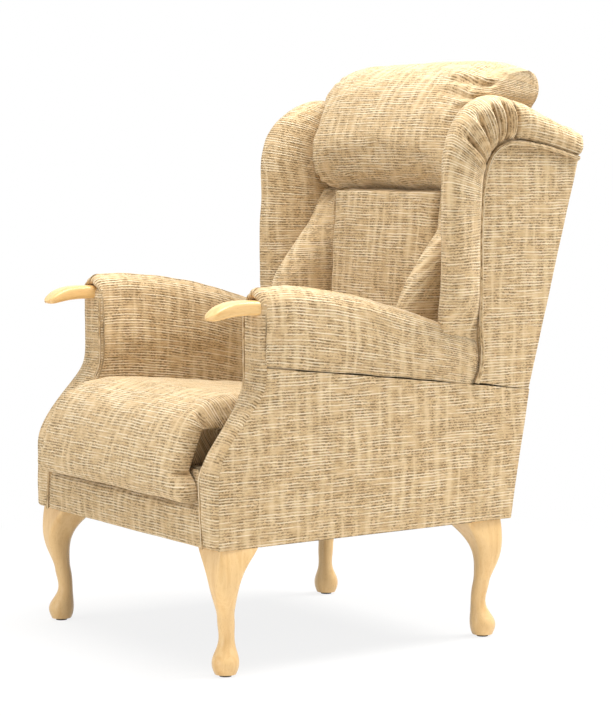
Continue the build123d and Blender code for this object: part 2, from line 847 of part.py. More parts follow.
spring_front_y = rail_front_y + seat_rail_thickness / 2
spring_rear_y = rear_rail_y - seat_rail_thickness / 2
spring_run = (spring_rear_y - spring_front_y) / math.cos(slope)
row_count = 2 * round(spring_run / spring_pitch / 2)
row_step = spring_run / row_count
wire_drop = platform_thickness + wire_radius + clip_clearance + clip_wall
spring_origin = (0, spring_front_y, deck_z(spring_front_y) - wire_drop / math.cos(slope))
spring_plane = Plane(origin=spring_origin, x_dir=(1, 0, 0), z_dir=(0, math.sin(slope), math.cos(slope)))

spring_points = [(-spring_width * 0.3, 0)]
for row in range(row_count):
    end_x = spring_width / 2 * (1 if row % 2 == 0 else -1)
    spring_points += [(end_x, row * row_step), (end_x, (row + 1) * row_step)]
spring_points.append((spring_width * 0.3, row_count * row_step))
with BuildPart() as one_spring:
    with BuildLine(spring_plane) as spring_path:
        FilletPolyline(*spring_points, radius=row_step / 2 - 0.5)
    start = spring_path.line
    with BuildSketch(Plane(origin=start @ 0, z_dir=start % 0)):
        Circle(wire_radius)
    sweep(path=spring_path.line)

with BuildPart() as one_clip_pair:
    for clip_along in (0, spring_run):
        with BuildSketch(spring_plane.offset(-clip_thickness / 2)):
            with Locations((0, clip_along)):
                Rectangle(clip_length, clip_width)
        extrude(amount=clip_thickness)
    for clip_along in (0, spring_run):
        bore_plane = Plane(origin=spring_plane.from_local_coords((0, clip_along, 0)), z_dir=(1, 0, 0))
        with BuildSketch(bore_plane):
            Circle(wire_radius + clip_clearance)
        extrude(amount=clip_length, both=True, mode=Mode.SUBTRACT)

spring_places = [(spring_spacing * (index - (spring_count - 1) / 2), 0, 0) for index in range(spring_count)]
with BuildPart() as seat_springs:
    with Locations(*spring_places):
        add(one_spring.part)
save(seat_springs, "seat_springs")
with BuildPart() as spring_clips:
    with Locations(*spring_places):
        add(one_clip_pair.part)
save(spring_clips, "spring_clips")

with BuildPart() as seat_platform:
    platform = cross_slab(
        [
            (rail_front_y, deck_z(rail_front_y)),
            (rear_rail_y, deck_z(rear_rail_y)),
            (rear_rail_y, deck_z(rear_rail_y) - platform_thickness),
            (rail_front_y, deck_z(rail_front_y) - platform_thickness),
        ],
        half_width=body_half_front,
    )
    add(platform.part)
    for side in (1, -1):
        split(bisect_by=inner_plane(0, side), keep=Keep.BOTTOM)
    add(upright.part, mode=Mode.SUBTRACT)
    add(mirror(upright.part, about=Plane.YZ, mode=Mode.PRIVATE), mode=Mode.SUBTRACT)
save(seat_platform, "seat_platform")

# ---------------------------------------------------------------- seat cushion

# How far each section lies from the middle, and how much it is drawn in there
cushion_stations = [(-1.0, 1.0), (-0.97, 0.5), (-0.9, 0.22), (-0.7, 0.05), (-0.35, 0.0)]
cushion_stations += [(0.0, 0.0)] + [(-place, drawn) for place, drawn in reversed(cushion_stations)]

with BuildPart() as seat_cushion:
    for place, drawn in cushion_stations:
        turn = inner_angle * abs(place)
        turned = upright_plane(cushion_half_front * abs(place), front_y, turn, -1 if place < 0 else 1)
        if place < 0:
            turned = Plane(origin=turned.origin, x_dir=-turned.x_dir, z_dir=-turned.z_dir)
        crown = cushion_crown * (1 - place**2) - end_drop * drawn
        top_z = [deck_z(y) + cushion_thickness + crown for y in (cushion_rear_y, drop_corner_y)]
        under_z = [deck_z(y) + soft_gap + end_lift * drawn for y in (cushion_rear_y, front_y)]
        nose_y = cushion_nose_y + end_draw * drawn - nose_bow * (1 - place**2)
        lip_z = drop_bottom_z + end_lift * drawn
        with BuildSketch(turned):
            with BuildLine():
                closed_outline(
                    [
                        (cushion_rear_y - front_y, under_z[0], cushion_base_radius),
                        (cushion_rear_y - front_y, top_z[0], cushion_top_radius),
                        (drop_corner_y - front_y, top_z[1], drop_radius),
                        (nose_y - front_y, lip_z, lip_radius),
                        (-1.5 * soft_gap - drawn, lip_z + lip_rear_radius / 2, lip_rear_radius),
                        (-1.5 * soft_gap - drawn, under_z[1]),
                    ]
                )
            make_face()
    loft(ruled=True)
save(seat_cushion, "seat_cushion")

with BuildPart() as cushion_zip:
    zip_z = deck_z(cushion_rear_y) + cushion_thickness / 2
    with BuildSketch(Plane.XZ.offset(-cushion_rear_y)):
        with Locations((0, zip_z)):
            Rectangle(zip_length, zip_width)
    extrude(amount=-zip_depth)
save(cushion_zip, "cushion_zip")

# ---------------------------------------------------------------- back pads and head pillow

pad_rear = upright_front + strap_thickness + 0.5

# Height, front at the edge, front at the middle
centre_stations = [
    (pad_bottom_z, 190, 176),
    (rake_z, 182, 166),
    (520, 173, 156),
    (580, 169, 151),
    (650, 171, 153),
    (730, 177, 161),
    (800, 182, 170),
    (pillow_bottom_z - soft_gap, 187, 177),
]
with BuildPart() as centre_back_pad:
    for z, edge_y, middle_y in centre_stations:
        with BuildSketch(Plane.XY.offset(z)):
            with BuildLine():
                closed_outline(
                    [
                        (-pad_seam_x, rear_y(z, pad_rear)),
                        (-pad_seam_x, edge_y, 22),
                        (0, middle_y - 4, 400),
                        (pad_seam_x, edge_y, 22),
                        (pad_seam_x, rear_y(z, pad_rear)),
                    ]
                )
            make_face()
    loft(ruled=True)
save(centre_back_pad, "centre_back_pad")

side_pad_inner = pad_seam_x + pad_seam_gap
side_pad_outer = inner_half_wing - pad_wing_gap
# Height, front of the outer side, front of the apex
side_stations = [
    (pad_bottom_z, 122, 96),
    (rake_z, 104, 74),
    (510, 88, 56),
    (570, 78, 46),
    (630, 79, 47),
    (680, 98, 70),
    (730, 136, 112),
    (790, 180, 164),
    (pillow_bottom_z - 8, 208, 198),
]
with BuildPart() as side_back_pad:
    for z, outer_front, apex_front in side_stations:
        with BuildSketch(Plane.XY.offset(z)):
            with BuildLine():
                closed_outline(
                    [
                        (side_pad_inner, rear_y(z, pad_rear)),
                        (side_pad_inner, apex_front + 26, 24),
                        ((side_pad_inner + side_pad_outer) / 2, apex_front, 30),
                        (side_pad_outer, outer_front, 20),
                        (side_pad_outer, rear_y(z, pad_rear)),
                    ]
                )
            make_face()
    loft(ruled=True)
save_pair(side_back_pad, "side_back_pad")

# Pillow profile at full size, drawn in about its middle towards the two ends
pillow_middle = (272.0, 980.0)
pillow_profile = [
    (372, pillow_bottom_z, 26),
    (160, pillow_bottom_z, 34),
    (152, 945, 160),
    (228, 1108, 62),
    (384, 1110, 44),
    (366, 990, 60),
]
pillow_stations = [(-1.0, 0.84), (-0.97, 0.91), (-0.88, 0.965), (-0.6, 0.99), (0.0, 1.0)]
pillow_stations += [(-place, size) for place, size in reversed(pillow_stations[:-1])]
with BuildPart() as head_pillow:
    for place, size in pillow_stations:
        with BuildSketch(Plane.YZ.offset(pillow_half * place)):
            with BuildLine():
                closed_outline(
                    [
                        (
                            pillow_middle[0] + (y - pillow_middle[0]) * size,
                            pillow_middle[1] + (z - pillow_middle[1]) * size,
                            radius * size,
                        )
                        for y, z, radius in pillow_profile
                    ]
                )
            make_face()
    loft(ruled=True)
save(head_pillow, "head_pillow")
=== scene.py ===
# %% [markdown]
# # A fireside chair, dressed in cloth
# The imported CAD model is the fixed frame: its wooden legs are shown as they are, and every soft
# solid is stood for by a cloth-covered piece that is worked out here. Lengths are metres, +Z is up,
# the chair faces -Y and +X is the sitter's left, the side that is near the camera.

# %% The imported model
import json
import math
import bpy
import numpy as np
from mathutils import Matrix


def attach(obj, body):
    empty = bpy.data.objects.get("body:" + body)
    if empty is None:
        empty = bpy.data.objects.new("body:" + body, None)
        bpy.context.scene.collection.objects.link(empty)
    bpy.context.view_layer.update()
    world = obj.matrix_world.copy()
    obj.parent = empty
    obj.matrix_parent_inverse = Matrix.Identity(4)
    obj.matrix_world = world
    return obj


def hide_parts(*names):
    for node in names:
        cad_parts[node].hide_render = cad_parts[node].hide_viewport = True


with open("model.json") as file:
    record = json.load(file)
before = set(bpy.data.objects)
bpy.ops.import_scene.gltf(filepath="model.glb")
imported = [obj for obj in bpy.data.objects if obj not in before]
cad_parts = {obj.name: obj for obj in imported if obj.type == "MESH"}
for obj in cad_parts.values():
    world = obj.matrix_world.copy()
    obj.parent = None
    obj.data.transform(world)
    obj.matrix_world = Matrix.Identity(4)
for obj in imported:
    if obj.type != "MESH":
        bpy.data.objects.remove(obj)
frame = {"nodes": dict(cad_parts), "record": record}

scene = bpy.context.scene
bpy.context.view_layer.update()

# %% [markdown]
# ## Camera
# A camera's place and focal length decide how fast the far side shrinks. They were solved from the
# straight edges of the chair: the camera stands 57 degrees round from the front, a little under
# head height, and looks slightly down through a long lens.

# %% Camera
photo_height_px = 716.0
focal_px = 2415.65
sensor = 36.0
camera_turn = math.radians(57.0)
camera_dip = math.radians(4.698)
camera_data = bpy.data.cameras.new("camera")
camera_data.sensor_width = sensor
camera_data.lens = focal_px * sensor / photo_height_px
camera = bpy.data.objects.new("camera", camera_data)
camera.location = (3.9329, -2.5575, 0.9121)
camera.rotation_euler = (math.pi / 2 - camera_dip, 0, camera_turn)
scene.collection.objects.link(camera)
scene.camera = camera
print("lens in mm:", round(camera_data.lens, 2))

# %% [markdown]
# ## Lines of the chair
# The body is a tapered box: its sides draw in to the rear and its back leans. A few formulas give
# its faces at any depth or height. They are the same as in the CAD source, so that a cloth piece
# lands where its solid is.

# %% Lines of the chair
front_y = -0.416  # front of facings and front border
arm_front_y = -0.312
base_z = 0.228  # bottom edge of the body
rake_y, rake_z = 0.316, 0.473  # where the rear face starts to lean more
crown_y, crown_z = 0.453, 0.961
base_y = 0.271
seam_front_z, seam_rear_z = 0.545, 0.473
deck_front_z = 0.369
seat_slope = math.radians(4.7)


def outer_x(y):
    """Half width of the body: 345 mm at the front, less 45 mm over 687 mm of depth."""
    return 0.345 - (y - front_y) * 0.045 / 0.687


def inner_x(y):
    """Half width between the arms: 268 mm at their front, less 13 mm over 496 mm of depth."""
    return 0.268 - (y - arm_front_y) * 0.013 / 0.496


def rear_y(z):
    """The rear face is two straight runs, steeper below the change of lean."""
    low = rake_y + (z - rake_z) * (rake_y - base_y) / (rake_z - base_z)
    high = rake_y + (z - rake_z) * (crown_y - rake_y) / (crown_z - rake_z)
    return np.where(np.asarray(z) < rake_z, low, high)


def seam_z(y):
    """The seam along the outside arm falls evenly from front to rear."""
    return seam_front_z + (y - arm_front_y) * (seam_rear_z - seam_front_z) / (rake_y - arm_front_y)


def deck_z(y):
    """The seat deck falls 4.7 degrees to the rear."""
    return deck_front_z - (y - front_y) * math.tan(seat_slope)


print("width in front:", 2 * outer_x(front_y), "m, between the arms:", 2 * inner_x(arm_front_y), "m")

# %% Ways of working out a surface
def soften(corners, count, reach):
    """A smooth line through corners. The straight runs are read at even steps of length, and each
    point becomes the mean of its neighbours under a bell curve of the given reach. The line is
    continued past each end by a half-turn, so the ends stay where they are."""
    corners = np.asarray(corners, float)
    run = np.linalg.norm(np.diff(corners[:, :2], axis=0), axis=1)
    length = np.concatenate([[0], np.cumsum(run)])
    step = length[-1] / (count - 1)
    even = np.linspace(0, length[-1], count)
    line = np.stack([np.interp(even, length, axis) for axis in corners.T], axis=1)
    half = min(count - 1, max(1, int(3 * reach / step)))
    bell = np.exp(-0.5 * (np.arange(-half, half + 1) * step / reach) ** 2)
    bell /= bell.sum()
    before = 2 * line[0] - line[half:0:-1]
    after = 2 * line[-1] - line[-2 : -half - 2 : -1]
    longer = np.concatenate([before, line, after])
    return np.stack([np.convolve(axis, bell, "valid") for axis in longer.T], axis=1)


def loaf(width, radius, arc, flat):
    """Across a padded form: distance from one edge, and the share of full thickness there. Both
    edges are quarter-ellipses, stepped by equal angles, with an even run between them."""
    turn = np.linspace(0, np.pi / 2, arc)
    side = radius * (1 - np.cos(turn))
    middle = np.linspace(radius, width - radius, flat + 2)[1:-1]
    across = np.concatenate([side, middle, width - side[::-1]])
    rise = np.concatenate([np.sin(turn), np.ones(flat), np.sin(turn)[::-1]])
    return across, rise


def smoothstep(value, low, high):
    """0 below low, 1 above high, and a level-ended curve between: 3t^2 - 2t^3."""
    t = np.clip((value - low) / (high - low), 0, 1)
    return t * t * (3 - 2 * t)


def quads(index):
    """Four-cornered faces between neighbours of a grid of point numbers."""
    corners = [index[:-1, :-1], index[1:, :-1], index[1:, 1:], index[:-1, 1:]]
    return np.stack(corners, axis=-1).reshape(-1, 4)


def travelled(points, axis):
    """Length walked along one axis of a grid of points, from 0 at its first row or column."""
    step = np.linalg.norm(np.diff(points, axis=axis), axis=-1)
    start = np.zeros_like(np.take(step, [0], axis=axis))
    return np.concatenate([start, np.cumsum(step, axis=axis)], axis=axis)


def outward(points, faces):
    """Faces turned so that the closed skin holds a positive volume: the sum of a . (b x c) over its
    triangles, two to a face."""
    a, b, c = (points[faces[:, corner]] for corner in range(3))
    d = points[faces[:, -1]]
    volume = sum((a * np.cross(*pair)).sum() for pair in ((b, c), (c, d)))
    return faces if volume > 0 else faces[:, ::-1]


def new_object(name, points, faces, cloth):
    """A mesh with its weave map: cloth gives two lengths in metres for every face corner."""
    mesh = bpy.data.meshes.new(name)
    mesh.from_pydata(points.tolist(), [], faces.tolist())
    layer = mesh.uv_layers.new(name="weave")
    layer.data.foreach_set("uv", cloth.astype(np.float32).ravel())
    mesh.polygons.foreach_set("use_smooth", np.ones(len(faces), bool))
    mesh.validate()
    piece = bpy.data.objects.new(name, mesh)
    scene.collection.objects.link(piece)
    return piece


charts = {}


def stuffed(name, face, back, across, along):
    """A closed skin of two sheets with one border, like a cushion cut from two panels. face and
    back are grids of points; across and along are the weave's lengths at the same places."""
    rows, columns = face.shape[:2]
    charts[name] = (across, along)
    inside = np.zeros((rows, columns), bool)
    inside[1:-1, 1:-1] = True
    points = np.concatenate([face.reshape(-1, 3), back[inside]])
    front_index = np.arange(rows * columns).reshape(rows, columns)
    back_index = front_index.copy()
    back_index[inside] = rows * columns + np.arange(inside.sum())
    faces = np.concatenate([quads(front_index), quads(back_index)[:, ::-1]])
    corners = np.concatenate([quads(front_index), quads(front_index)[:, ::-1]])
    turned = outward(points, faces)
    if turned is not faces:
        corners = corners[:, ::-1]
    cloth = np.stack([across.ravel(), along.ravel()], axis=1)[corners.ravel()]
    return new_object(name, points, turned, cloth)


def tube(name, rings):
    """A closed skin round rings of points, with its ends drawn to their middles."""
    rows, columns = rings.shape[:2]
    index = np.arange(rows * columns).reshape(rows, columns)
    index = np.column_stack([index, index[:, :1]])
    points = np.concatenate([rings.reshape(-1, 3), [rings[0].mean(axis=0)], [rings[-1].mean(axis=0)]])
    first, last = (np.full((1, columns + 1), rows * columns + pole) for pole in (0, 1))
    faces = quads(np.concatenate([first, index, last]))
    loop = np.concatenate([rings, rings[:, :1]], axis=1)
    along, round_it = (np.pad(travelled(loop, axis), ((1, 1), (0, 0)), "edge") for axis in (0, 1))
    place = quads(np.arange(along.size).reshape(along.shape))
    turned = outward(points, faces)
    if turned is not faces:
        place = place[:, ::-1]
    cloth = np.stack([along.ravel(), round_it.ravel()], axis=1)[place.ravel()]
    return new_object(name, points, turned, cloth)


def cord_rings(path, across, radius, around=12):
    """Rings of a round cord that lies in a plane: each is a circle square to the path, on the
    plane's own direction and the direction square to both."""
    ahead = np.gradient(path, axis=0)
    ahead /= np.linalg.norm(ahead, axis=1, keepdims=True)
    across = np.asarray(across, float) / np.linalg.norm(across)
    up = np.cross(ahead, across)
    turn = np.linspace(0, 2 * np.pi, around, endpoint=False)
    circle = across * np.cos(turn)[:, None] + up[:, None, :] * np.sin(turn)[None, :, None]
    return path[:, None, :] + radius * circle


# %% [markdown]
# ## Finishes
# The whole chair is covered in one cloth, a slub weave: thick and thin yarns, cream on a
# pale gold ground, with short brown flecks where the ground shows. Its yarns are drawn by
# formulas on the weave map, which holds real lengths, so they run along each piece and keep
# their size. The woods, metals and plastics are read from Object coordinates.

# %% Colour and node helpers
def linear(colour):
    """A hex colour in sRGB as linear light: c/12.92 below 0.04045, else ((c+0.055)/1.055)^2.4."""
    value = np.array([int(colour[i : i + 2], 16) / 255 for i in (1, 3, 5)])
    light = np.where(value <= 0.04045, value / 12.92, ((value + 0.055) / 1.055) ** 2.4)
    return (*light, 1.0)


def node(tree, kind, *values, stops=(), **settings):
    """Adds one node. The values go to its inputs in their order, and in_NAME or in_NUMBER goes to one
    input: each is a constant, an output socket, or a node, for its first output. Other settings are
    the node's properties, and stops are a colour ramp's pairs of place and sRGB hex colour."""
    made = tree.nodes.new("ShaderNode" + kind)
    inputs = dict(enumerate(values))
    for key, value in settings.items():
        if key.startswith("in_"):
            socket = key[3:].replace("_", " ")
            inputs[int(socket) if socket.isdigit() else socket] = value
        else:
            setattr(made, key, value)
    for socket, value in inputs.items():
        if isinstance(value, bpy.types.Node):
            value = value.outputs[0]
        if isinstance(value, bpy.types.NodeSocket):
            tree.links.new(made.inputs[socket], value)
        else:
            made.inputs[socket].default_value = value
    if stops:
        elements = made.color_ramp.elements
        while len(elements) < len(stops):
            elements.new(0.5)
        for element, (place, colour) in zip(elements, stops):
            element.position, element.color = place, linear(colour)
    return made


def new_material(name, roughness, **constants):
    """A principled material whose constant values are set on the shader itself."""
    material = bpy.data.materials.new(name)
    material.use_nodes = True
    tree = material.node_tree
    shader = tree.nodes["Principled BSDF"]
    shader.inputs["Roughness"].default_value = roughness
    for key, value in constants.items():
        shader.inputs[key.replace("_", " ")].default_value = value
    return material, tree, shader


def dress(tree, shader, colour, height, depth, strength=1.0):
    """Feeds a colour to the shader, and a height from 0 to 1 whose real depth is in metres."""
    tree.links.new(shader.inputs["Base Color"], colour)
    bump = node(tree, "Bump", in_Height=height, in_Strength=strength, in_Distance=depth)
    tree.links.new(shader.inputs["Normal"], bump.outputs["Normal"])


# %% Slub weave
weft_pitch = 0.0052  # from one weft row to the next
weft_wander = 0.0055  # how far a row strays
band_pitch = 0.0270  # from one light band of thick warps to the next
band_wander = 0.026
slub_length = 0.060
fleck_length = 0.0050
weave_depth = 0.0011


def slub_weave():
    """Weft yarns are ridges across, and some of them are thick and cream for a length; bands of thick
    warp yarns cross them, paler than the ground; flecks are short dark dashes between the weft
    yarns, in patches where the ground is open. A row of yarn is a cosine wave of the length across
    it, which a noise bends. Each pattern's scales are in waves to the metre, and its shift keeps it
    apart from the others."""
    material, tree, shader = new_material("slub_weave_cloth", 0.92, Sheen_Weight=0.25,
                                          Sheen_Roughness=0.5)
    shader.inputs["Specular IOR Level"].default_value = 0.2
    shader.inputs["Sheen Tint"].default_value = linear("#F2E6CC")
    place = node(tree, "SeparateXYZ", node(tree, "UVMap", uv_map="weave"))
    u, v = place.outputs["X"], place.outputs["Y"]

    def pattern(first, first_scale, second, second_scale, detail=1.0, shift=0.0):
        """Noise that is stretched by its own scale in each direction."""
        across = node(tree, "Math", first, first_scale, operation="MULTIPLY")
        along = node(tree, "Math", second, second_scale, operation="MULTIPLY")
        joined = node(tree, "CombineXYZ", across, along, shift)
        return node(tree, "TexNoise", joined, in_Scale=1.0, in_Detail=detail)

    def yarn_rows(noise, wander, length, pitch):
        """Counts rows along a length, each bent by a noise, with the cosine wave that peaks at each
        whole number."""
        stray = node(tree, "Math", noise, 0.5, operation="SUBTRACT")
        bent = node(tree, "Math", stray, wander, length, operation="MULTIPLY_ADD")
        count = node(tree, "Math", bent, pitch, operation="DIVIDE")
        turn = node(tree, "Math", count, 2 * math.pi, operation="MULTIPLY")
        return count, node(tree, "Math", turn, operation="COSINE")

    rows, row_wave = yarn_rows(pattern(u, 12, v, 20, 2), weft_wander, v, weft_pitch)
    row = node(tree, "Math", rows, operation="FLOOR")
    valley = node(tree, "Math", row_wave, 0.5, 0.5, operation="MULTIPLY_ADD")
    ridge = node(tree, "Math", 1.0, valley, operation="SUBTRACT")
    row_tone = pattern(u, 1 / slub_length, row, 7.31, 2.5, 3.7)
    slub = node(tree, "MapRange", row_tone, 0.42, 0.64, interpolation_type="SMOOTHSTEP")
    crest = node(tree, "Math", ridge, 3.5, operation="POWER")
    thread = node(tree, "Math", crest, slub, operation="MULTIPLY")

    bands, band_wave = yarn_rows(pattern(u, 11, v, 7, 2, 8.0), band_wander, u, band_pitch)
    band = node(tree, "Math", bands, operation="FLOOR")
    band_ridge = node(tree, "MapRange", band_wave, -0.6, 1.0, interpolation_type="SMOOTHSTEP")
    band_noise = pattern(band, 5.17, v, 11, 2, 5.9)
    band_tone = node(tree, "MapRange", band_noise, 0.30, 0.70, interpolation_type="SMOOTHSTEP")
    upright = node(tree, "Math", band_ridge, band_tone, operation="MULTIPLY")

    half_rows = node(tree, "Math", rows, 2.0, operation="MULTIPLY")
    half_row = node(tree, "Math", half_rows, operation="FLOOR")
    dash = pattern(u, 1 / fleck_length, half_row, 3.93, 1.5, 1.3)
    fleck = node(tree, "MapRange", dash, 0.40, 0.54, interpolation_type="SMOOTHSTEP")
    patch = node(tree, "MapRange", pattern(u, 30, v, 42, 2, 2.2), 0.30, 0.52)
    open_ground = node(tree, "Math", upright, -0.75, 1.0, operation="MULTIPLY_ADD")
    low_fleck = node(tree, "Math", fleck, valley, operation="MULTIPLY")
    open_patch = node(tree, "Math", patch, open_ground, operation="MULTIPLY")
    dark = node(tree, "Math", low_fleck, open_patch, operation="MULTIPLY")

    fine = pattern(u, 900, v, 900, 2, 9.1)
    cloud = node(tree, "Math", pattern(u, 40, v, 160, 2, 4.4), 0.5, operation="MULTIPLY")
    ground = node(tree, "Math", fine, cloud, operation="ADD")
    colour = node(tree, "ValToRGB", ground,
                  stops=[(0.50, "#B3946B"), (0.75, "#C6A97F"), (1.0, "#D5BB95")])
    band_share = node(tree, "Math", upright, 0.6, operation="MULTIPLY")
    dark_share = node(tree, "Math", dark, 0.88, operation="MULTIPLY")
    for share, tint in ((band_share, "#DAC39C"), (thread, "#EEDEC0"), (dark_share, "#64502F")):
        mixed = node(tree, "Mix", data_type="RGBA", in_0=share, in_6=colour, in_7=linear(tint))
        colour = mixed.outputs[2]

    height = node(tree, "Math", ridge, 0.25, operation="MULTIPLY")
    height = node(tree, "Math", thread, 0.5, height, operation="MULTIPLY_ADD")
    height = node(tree, "Math", upright, 0.2, height, operation="MULTIPLY_ADD")
    gap = node(tree, "Math", dark, 0.35, operation="MULTIPLY")
    height = node(tree, "Math", height, gap, operation="SUBTRACT")
    height = node(tree, "Math", fine, 0.2, height, operation="MULTIPLY_ADD")
    dress(tree, shader, colour, height, weave_depth)
    return material


cloth = slub_weave()
print("weave:", weft_pitch * 1000, "mm between weft yarns")


# %% [markdown]
# ## Beech
# The legs and hand grips are steamed beech under a satin lacquer. Beech is pale and even, with long
# faint grain bands and many short darker flecks, its rays. The grain runs the length of a piece:
# up the legs and along the grips.

# %% Beech
def beech(name, length_axis, pale, deep):
    """Noise stretched 14 times along the grain gives the bands, and a finer one stretched 9 times
    gives the rays, which are about 2 mm long."""
    material, tree, shader = new_material(name, 0.38, Coat_Weight=0.35, Coat_Roughness=0.22)
    place = node(tree, "TexCoord").outputs["Object"]
    stretch = [1.0, 1.0, 1.0]
    stretch[length_axis] = 0.07
    grain_map = node(tree, "Mapping", place, in_Scale=stretch)
    grain = node(tree, "TexNoise", grain_map, in_Scale=70.0, in_Detail=5.0, in_Distortion=0.6)
    stretch[length_axis] = 0.11
    ray_map = node(tree, "Mapping", place, in_Scale=stretch)
    rays = node(tree, "TexNoise", ray_map, in_Scale=900.0, in_Detail=1.0)
    ray = node(tree, "MapRange", rays, 0.6, 0.72)
    ray_share = node(tree, "Math", ray, 0.35, operation="MULTIPLY")
    body = node(tree, "ValToRGB", grain, stops=[(0.3, deep), (0.55, pale), (0.8, deep)])
    mixed = node(tree, "Mix", data_type="RGBA", in_0=ray_share, in_6=body, in_7=linear("#B98F55"))
    dress(tree, shader, mixed.outputs[2], grain.outputs[0], 0.0002, 0.5)
    return material


leg_beech = beech("satin_beech_upright", 2, "#E3BE84", "#D6AB6D")
grip_beech = beech("satin_beech_level", 1, "#E6BE7E", "#D6A35F")
rail_beech = beech("planed_hardwood", 0, "#CDB184", "#B8996A")
print("beech: upright for the legs, level for the grips, and planed for the frame")


# %% [markdown]
# ## Plain finishes
# What is under the seat or inside the body has simple finishes: black moulded polypropylene glides,
# zinc-plated screws, drawn spring wire, elastic webbing, spun-bonded base cloth, felt and a coil zip.

# %% Plain finishes
def mottled(name, dark, light, scale, roughness, depth, stretch=(1, 1, 1), **constants):
    """Two close tones of one colour, mixed by a noise whose scale is per metre."""
    material, tree, shader = new_material(name, roughness, **constants)
    spread = node(tree, "Mapping", node(tree, "TexCoord").outputs["Object"], in_Scale=stretch)
    speckle = node(tree, "TexNoise", spread, in_Scale=scale, in_Detail=3.0)
    colour = node(tree, "ValToRGB", speckle, stops=[(0.35, dark), (0.65, light)])
    dress(tree, shader, colour.outputs[0], speckle.outputs[0], depth)
    return material


finishes = {
    "steel": mottled("zinc_plated_steel", "#A9AAA6", "#C4C5C1", 400, 0.35, 0.00005, Metallic=1.0),
    "glide_plastic": mottled("black_polypropylene", "#1B1816", "#2A2623", 900, 0.45, 0.00005),
    "webbing": mottled("elastic_webbing", "#1E1E20", "#34343A", 700, 0.85, 0.0003, (0.1, 1, 1)),
    "base_cloth": mottled("spun_bonded_base_cloth", "#1C1B1B", "#2C2A29", 600, 0.95, 0.0002),
    "deck_cloth": mottled("needled_felt", "#8B7A5C", "#A8977A", 500, 0.97, 0.0004),
    "zip": mottled("nylon_coil_zip", "#8C7650", "#C0A878", 420, 0.6, 0.0006, (1, 1, 0.05)),
    "beech": leg_beech,
    "frame_wood": rail_beech,
}
print("finishes:", ", ".join(finishes))

# %% Give every CAD node its finish
slot_of = {part["node"]: part["material_slot"] for part in frame["record"]["subparts"]}
for name, part in frame["nodes"].items():
    part.data.materials.clear()
    part.data.materials.append(finishes.get(slot_of[name], cloth))
print("CAD nodes with a finish:", len(frame["nodes"]))


# %% Finishing a piece
def finish_piece(piece, body, nodes, material=cloth, slot="upholstery", fill=None, levels=1):
    """Puts the finish on, rounds the mesh off by subdivision, and ties the piece to its body in place
    of the CAD nodes that it stands for."""
    piece.data.materials.append(material)
    if levels:
        rounding = piece.modifiers.new("Rounding", "SUBSURF")
        rounding.levels = rounding.render_levels = levels
    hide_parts(*nodes)
    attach(piece, body)


# %% [markdown]
# ## Stuffing
# Foam and fibre push a cover out until its cloth is taut, which rounds its faces and pulls its
# corners in. A cloth simulation with air pressure inside does the same. Each point may only move a
# few millimetres, so the piece keeps to the space that its solid holds.

# %% Stuffing
def read_points(mesh, kind="co"):
    """Every point's place, or with "normal" the direction that its surface faces there."""
    flat = np.empty(len(mesh.vertices) * 3)
    mesh.vertices.foreach_get(kind, flat)
    return flat.reshape(-1, 3)


def move_points(piece, points):
    """Puts every point in its new place."""
    piece.data.vertices.foreach_set("co", points.ravel())
    piece.data.update()


def stuff(piece, pressure=4.0, most=0.008, frames=20):
    """Runs the cloth under pressure for a few frames, then moves each point by what it moved,
    but by no more than `most`: the move is scaled down to most * tanh(move / most)."""
    rest = read_points(piece.data)
    modifier = piece.modifiers.new("Cloth", "CLOTH")
    settings = modifier.settings
    settings.quality = 5
    settings.mass = 0.3
    settings.use_pressure = True
    settings.uniform_pressure_force = pressure
    settings.effector_weights.gravity = 0
    modifier.point_cache.frame_start = 1
    modifier.point_cache.frame_end = frames
    for frame_number in range(1, frames + 1):
        scene.frame_set(frame_number)
    shown = piece.evaluated_get(bpy.context.evaluated_depsgraph_get())
    moved = read_points(shown.data) - rest
    piece.modifiers.remove(modifier)
    scene.frame_set(1)
    reach = np.linalg.norm(moved, axis=1, keepdims=True)
    moved *= np.where(reach > 1e-9, most * np.tanh(reach / most) / np.maximum(reach, 1e-9), 0)
    move_points(piece, rest + moved)
    swelled = round(float(reach.max()) * 1000, 1)
    print(piece.name, "swelled by up to", swelled, "mm, kept to", most * 1000)


def settle(piece, depth, wavelength, seed, waves=14):
    """Soft unevenness of hand-filled padding: a sum of plane waves in fixed pseudo-random
    directions, each point moved along its own normal."""
    draw = np.random.default_rng(seed)
    points = read_points(piece.data)
    direction = draw.normal(size=(waves, 3))
    direction /= np.linalg.norm(direction, axis=1, keepdims=True)
    number = 2 * np.pi / (wavelength * draw.uniform(0.6, 1.8, waves))
    phase = draw.uniform(0, 2 * np.pi, waves)
    height = np.sin(points @ (direction * number[:, None]).T + phase).sum(axis=1) / math.sqrt(waves)
    move_points(piece, points + read_points(piece.data, "normal") * (depth * height)[:, None])


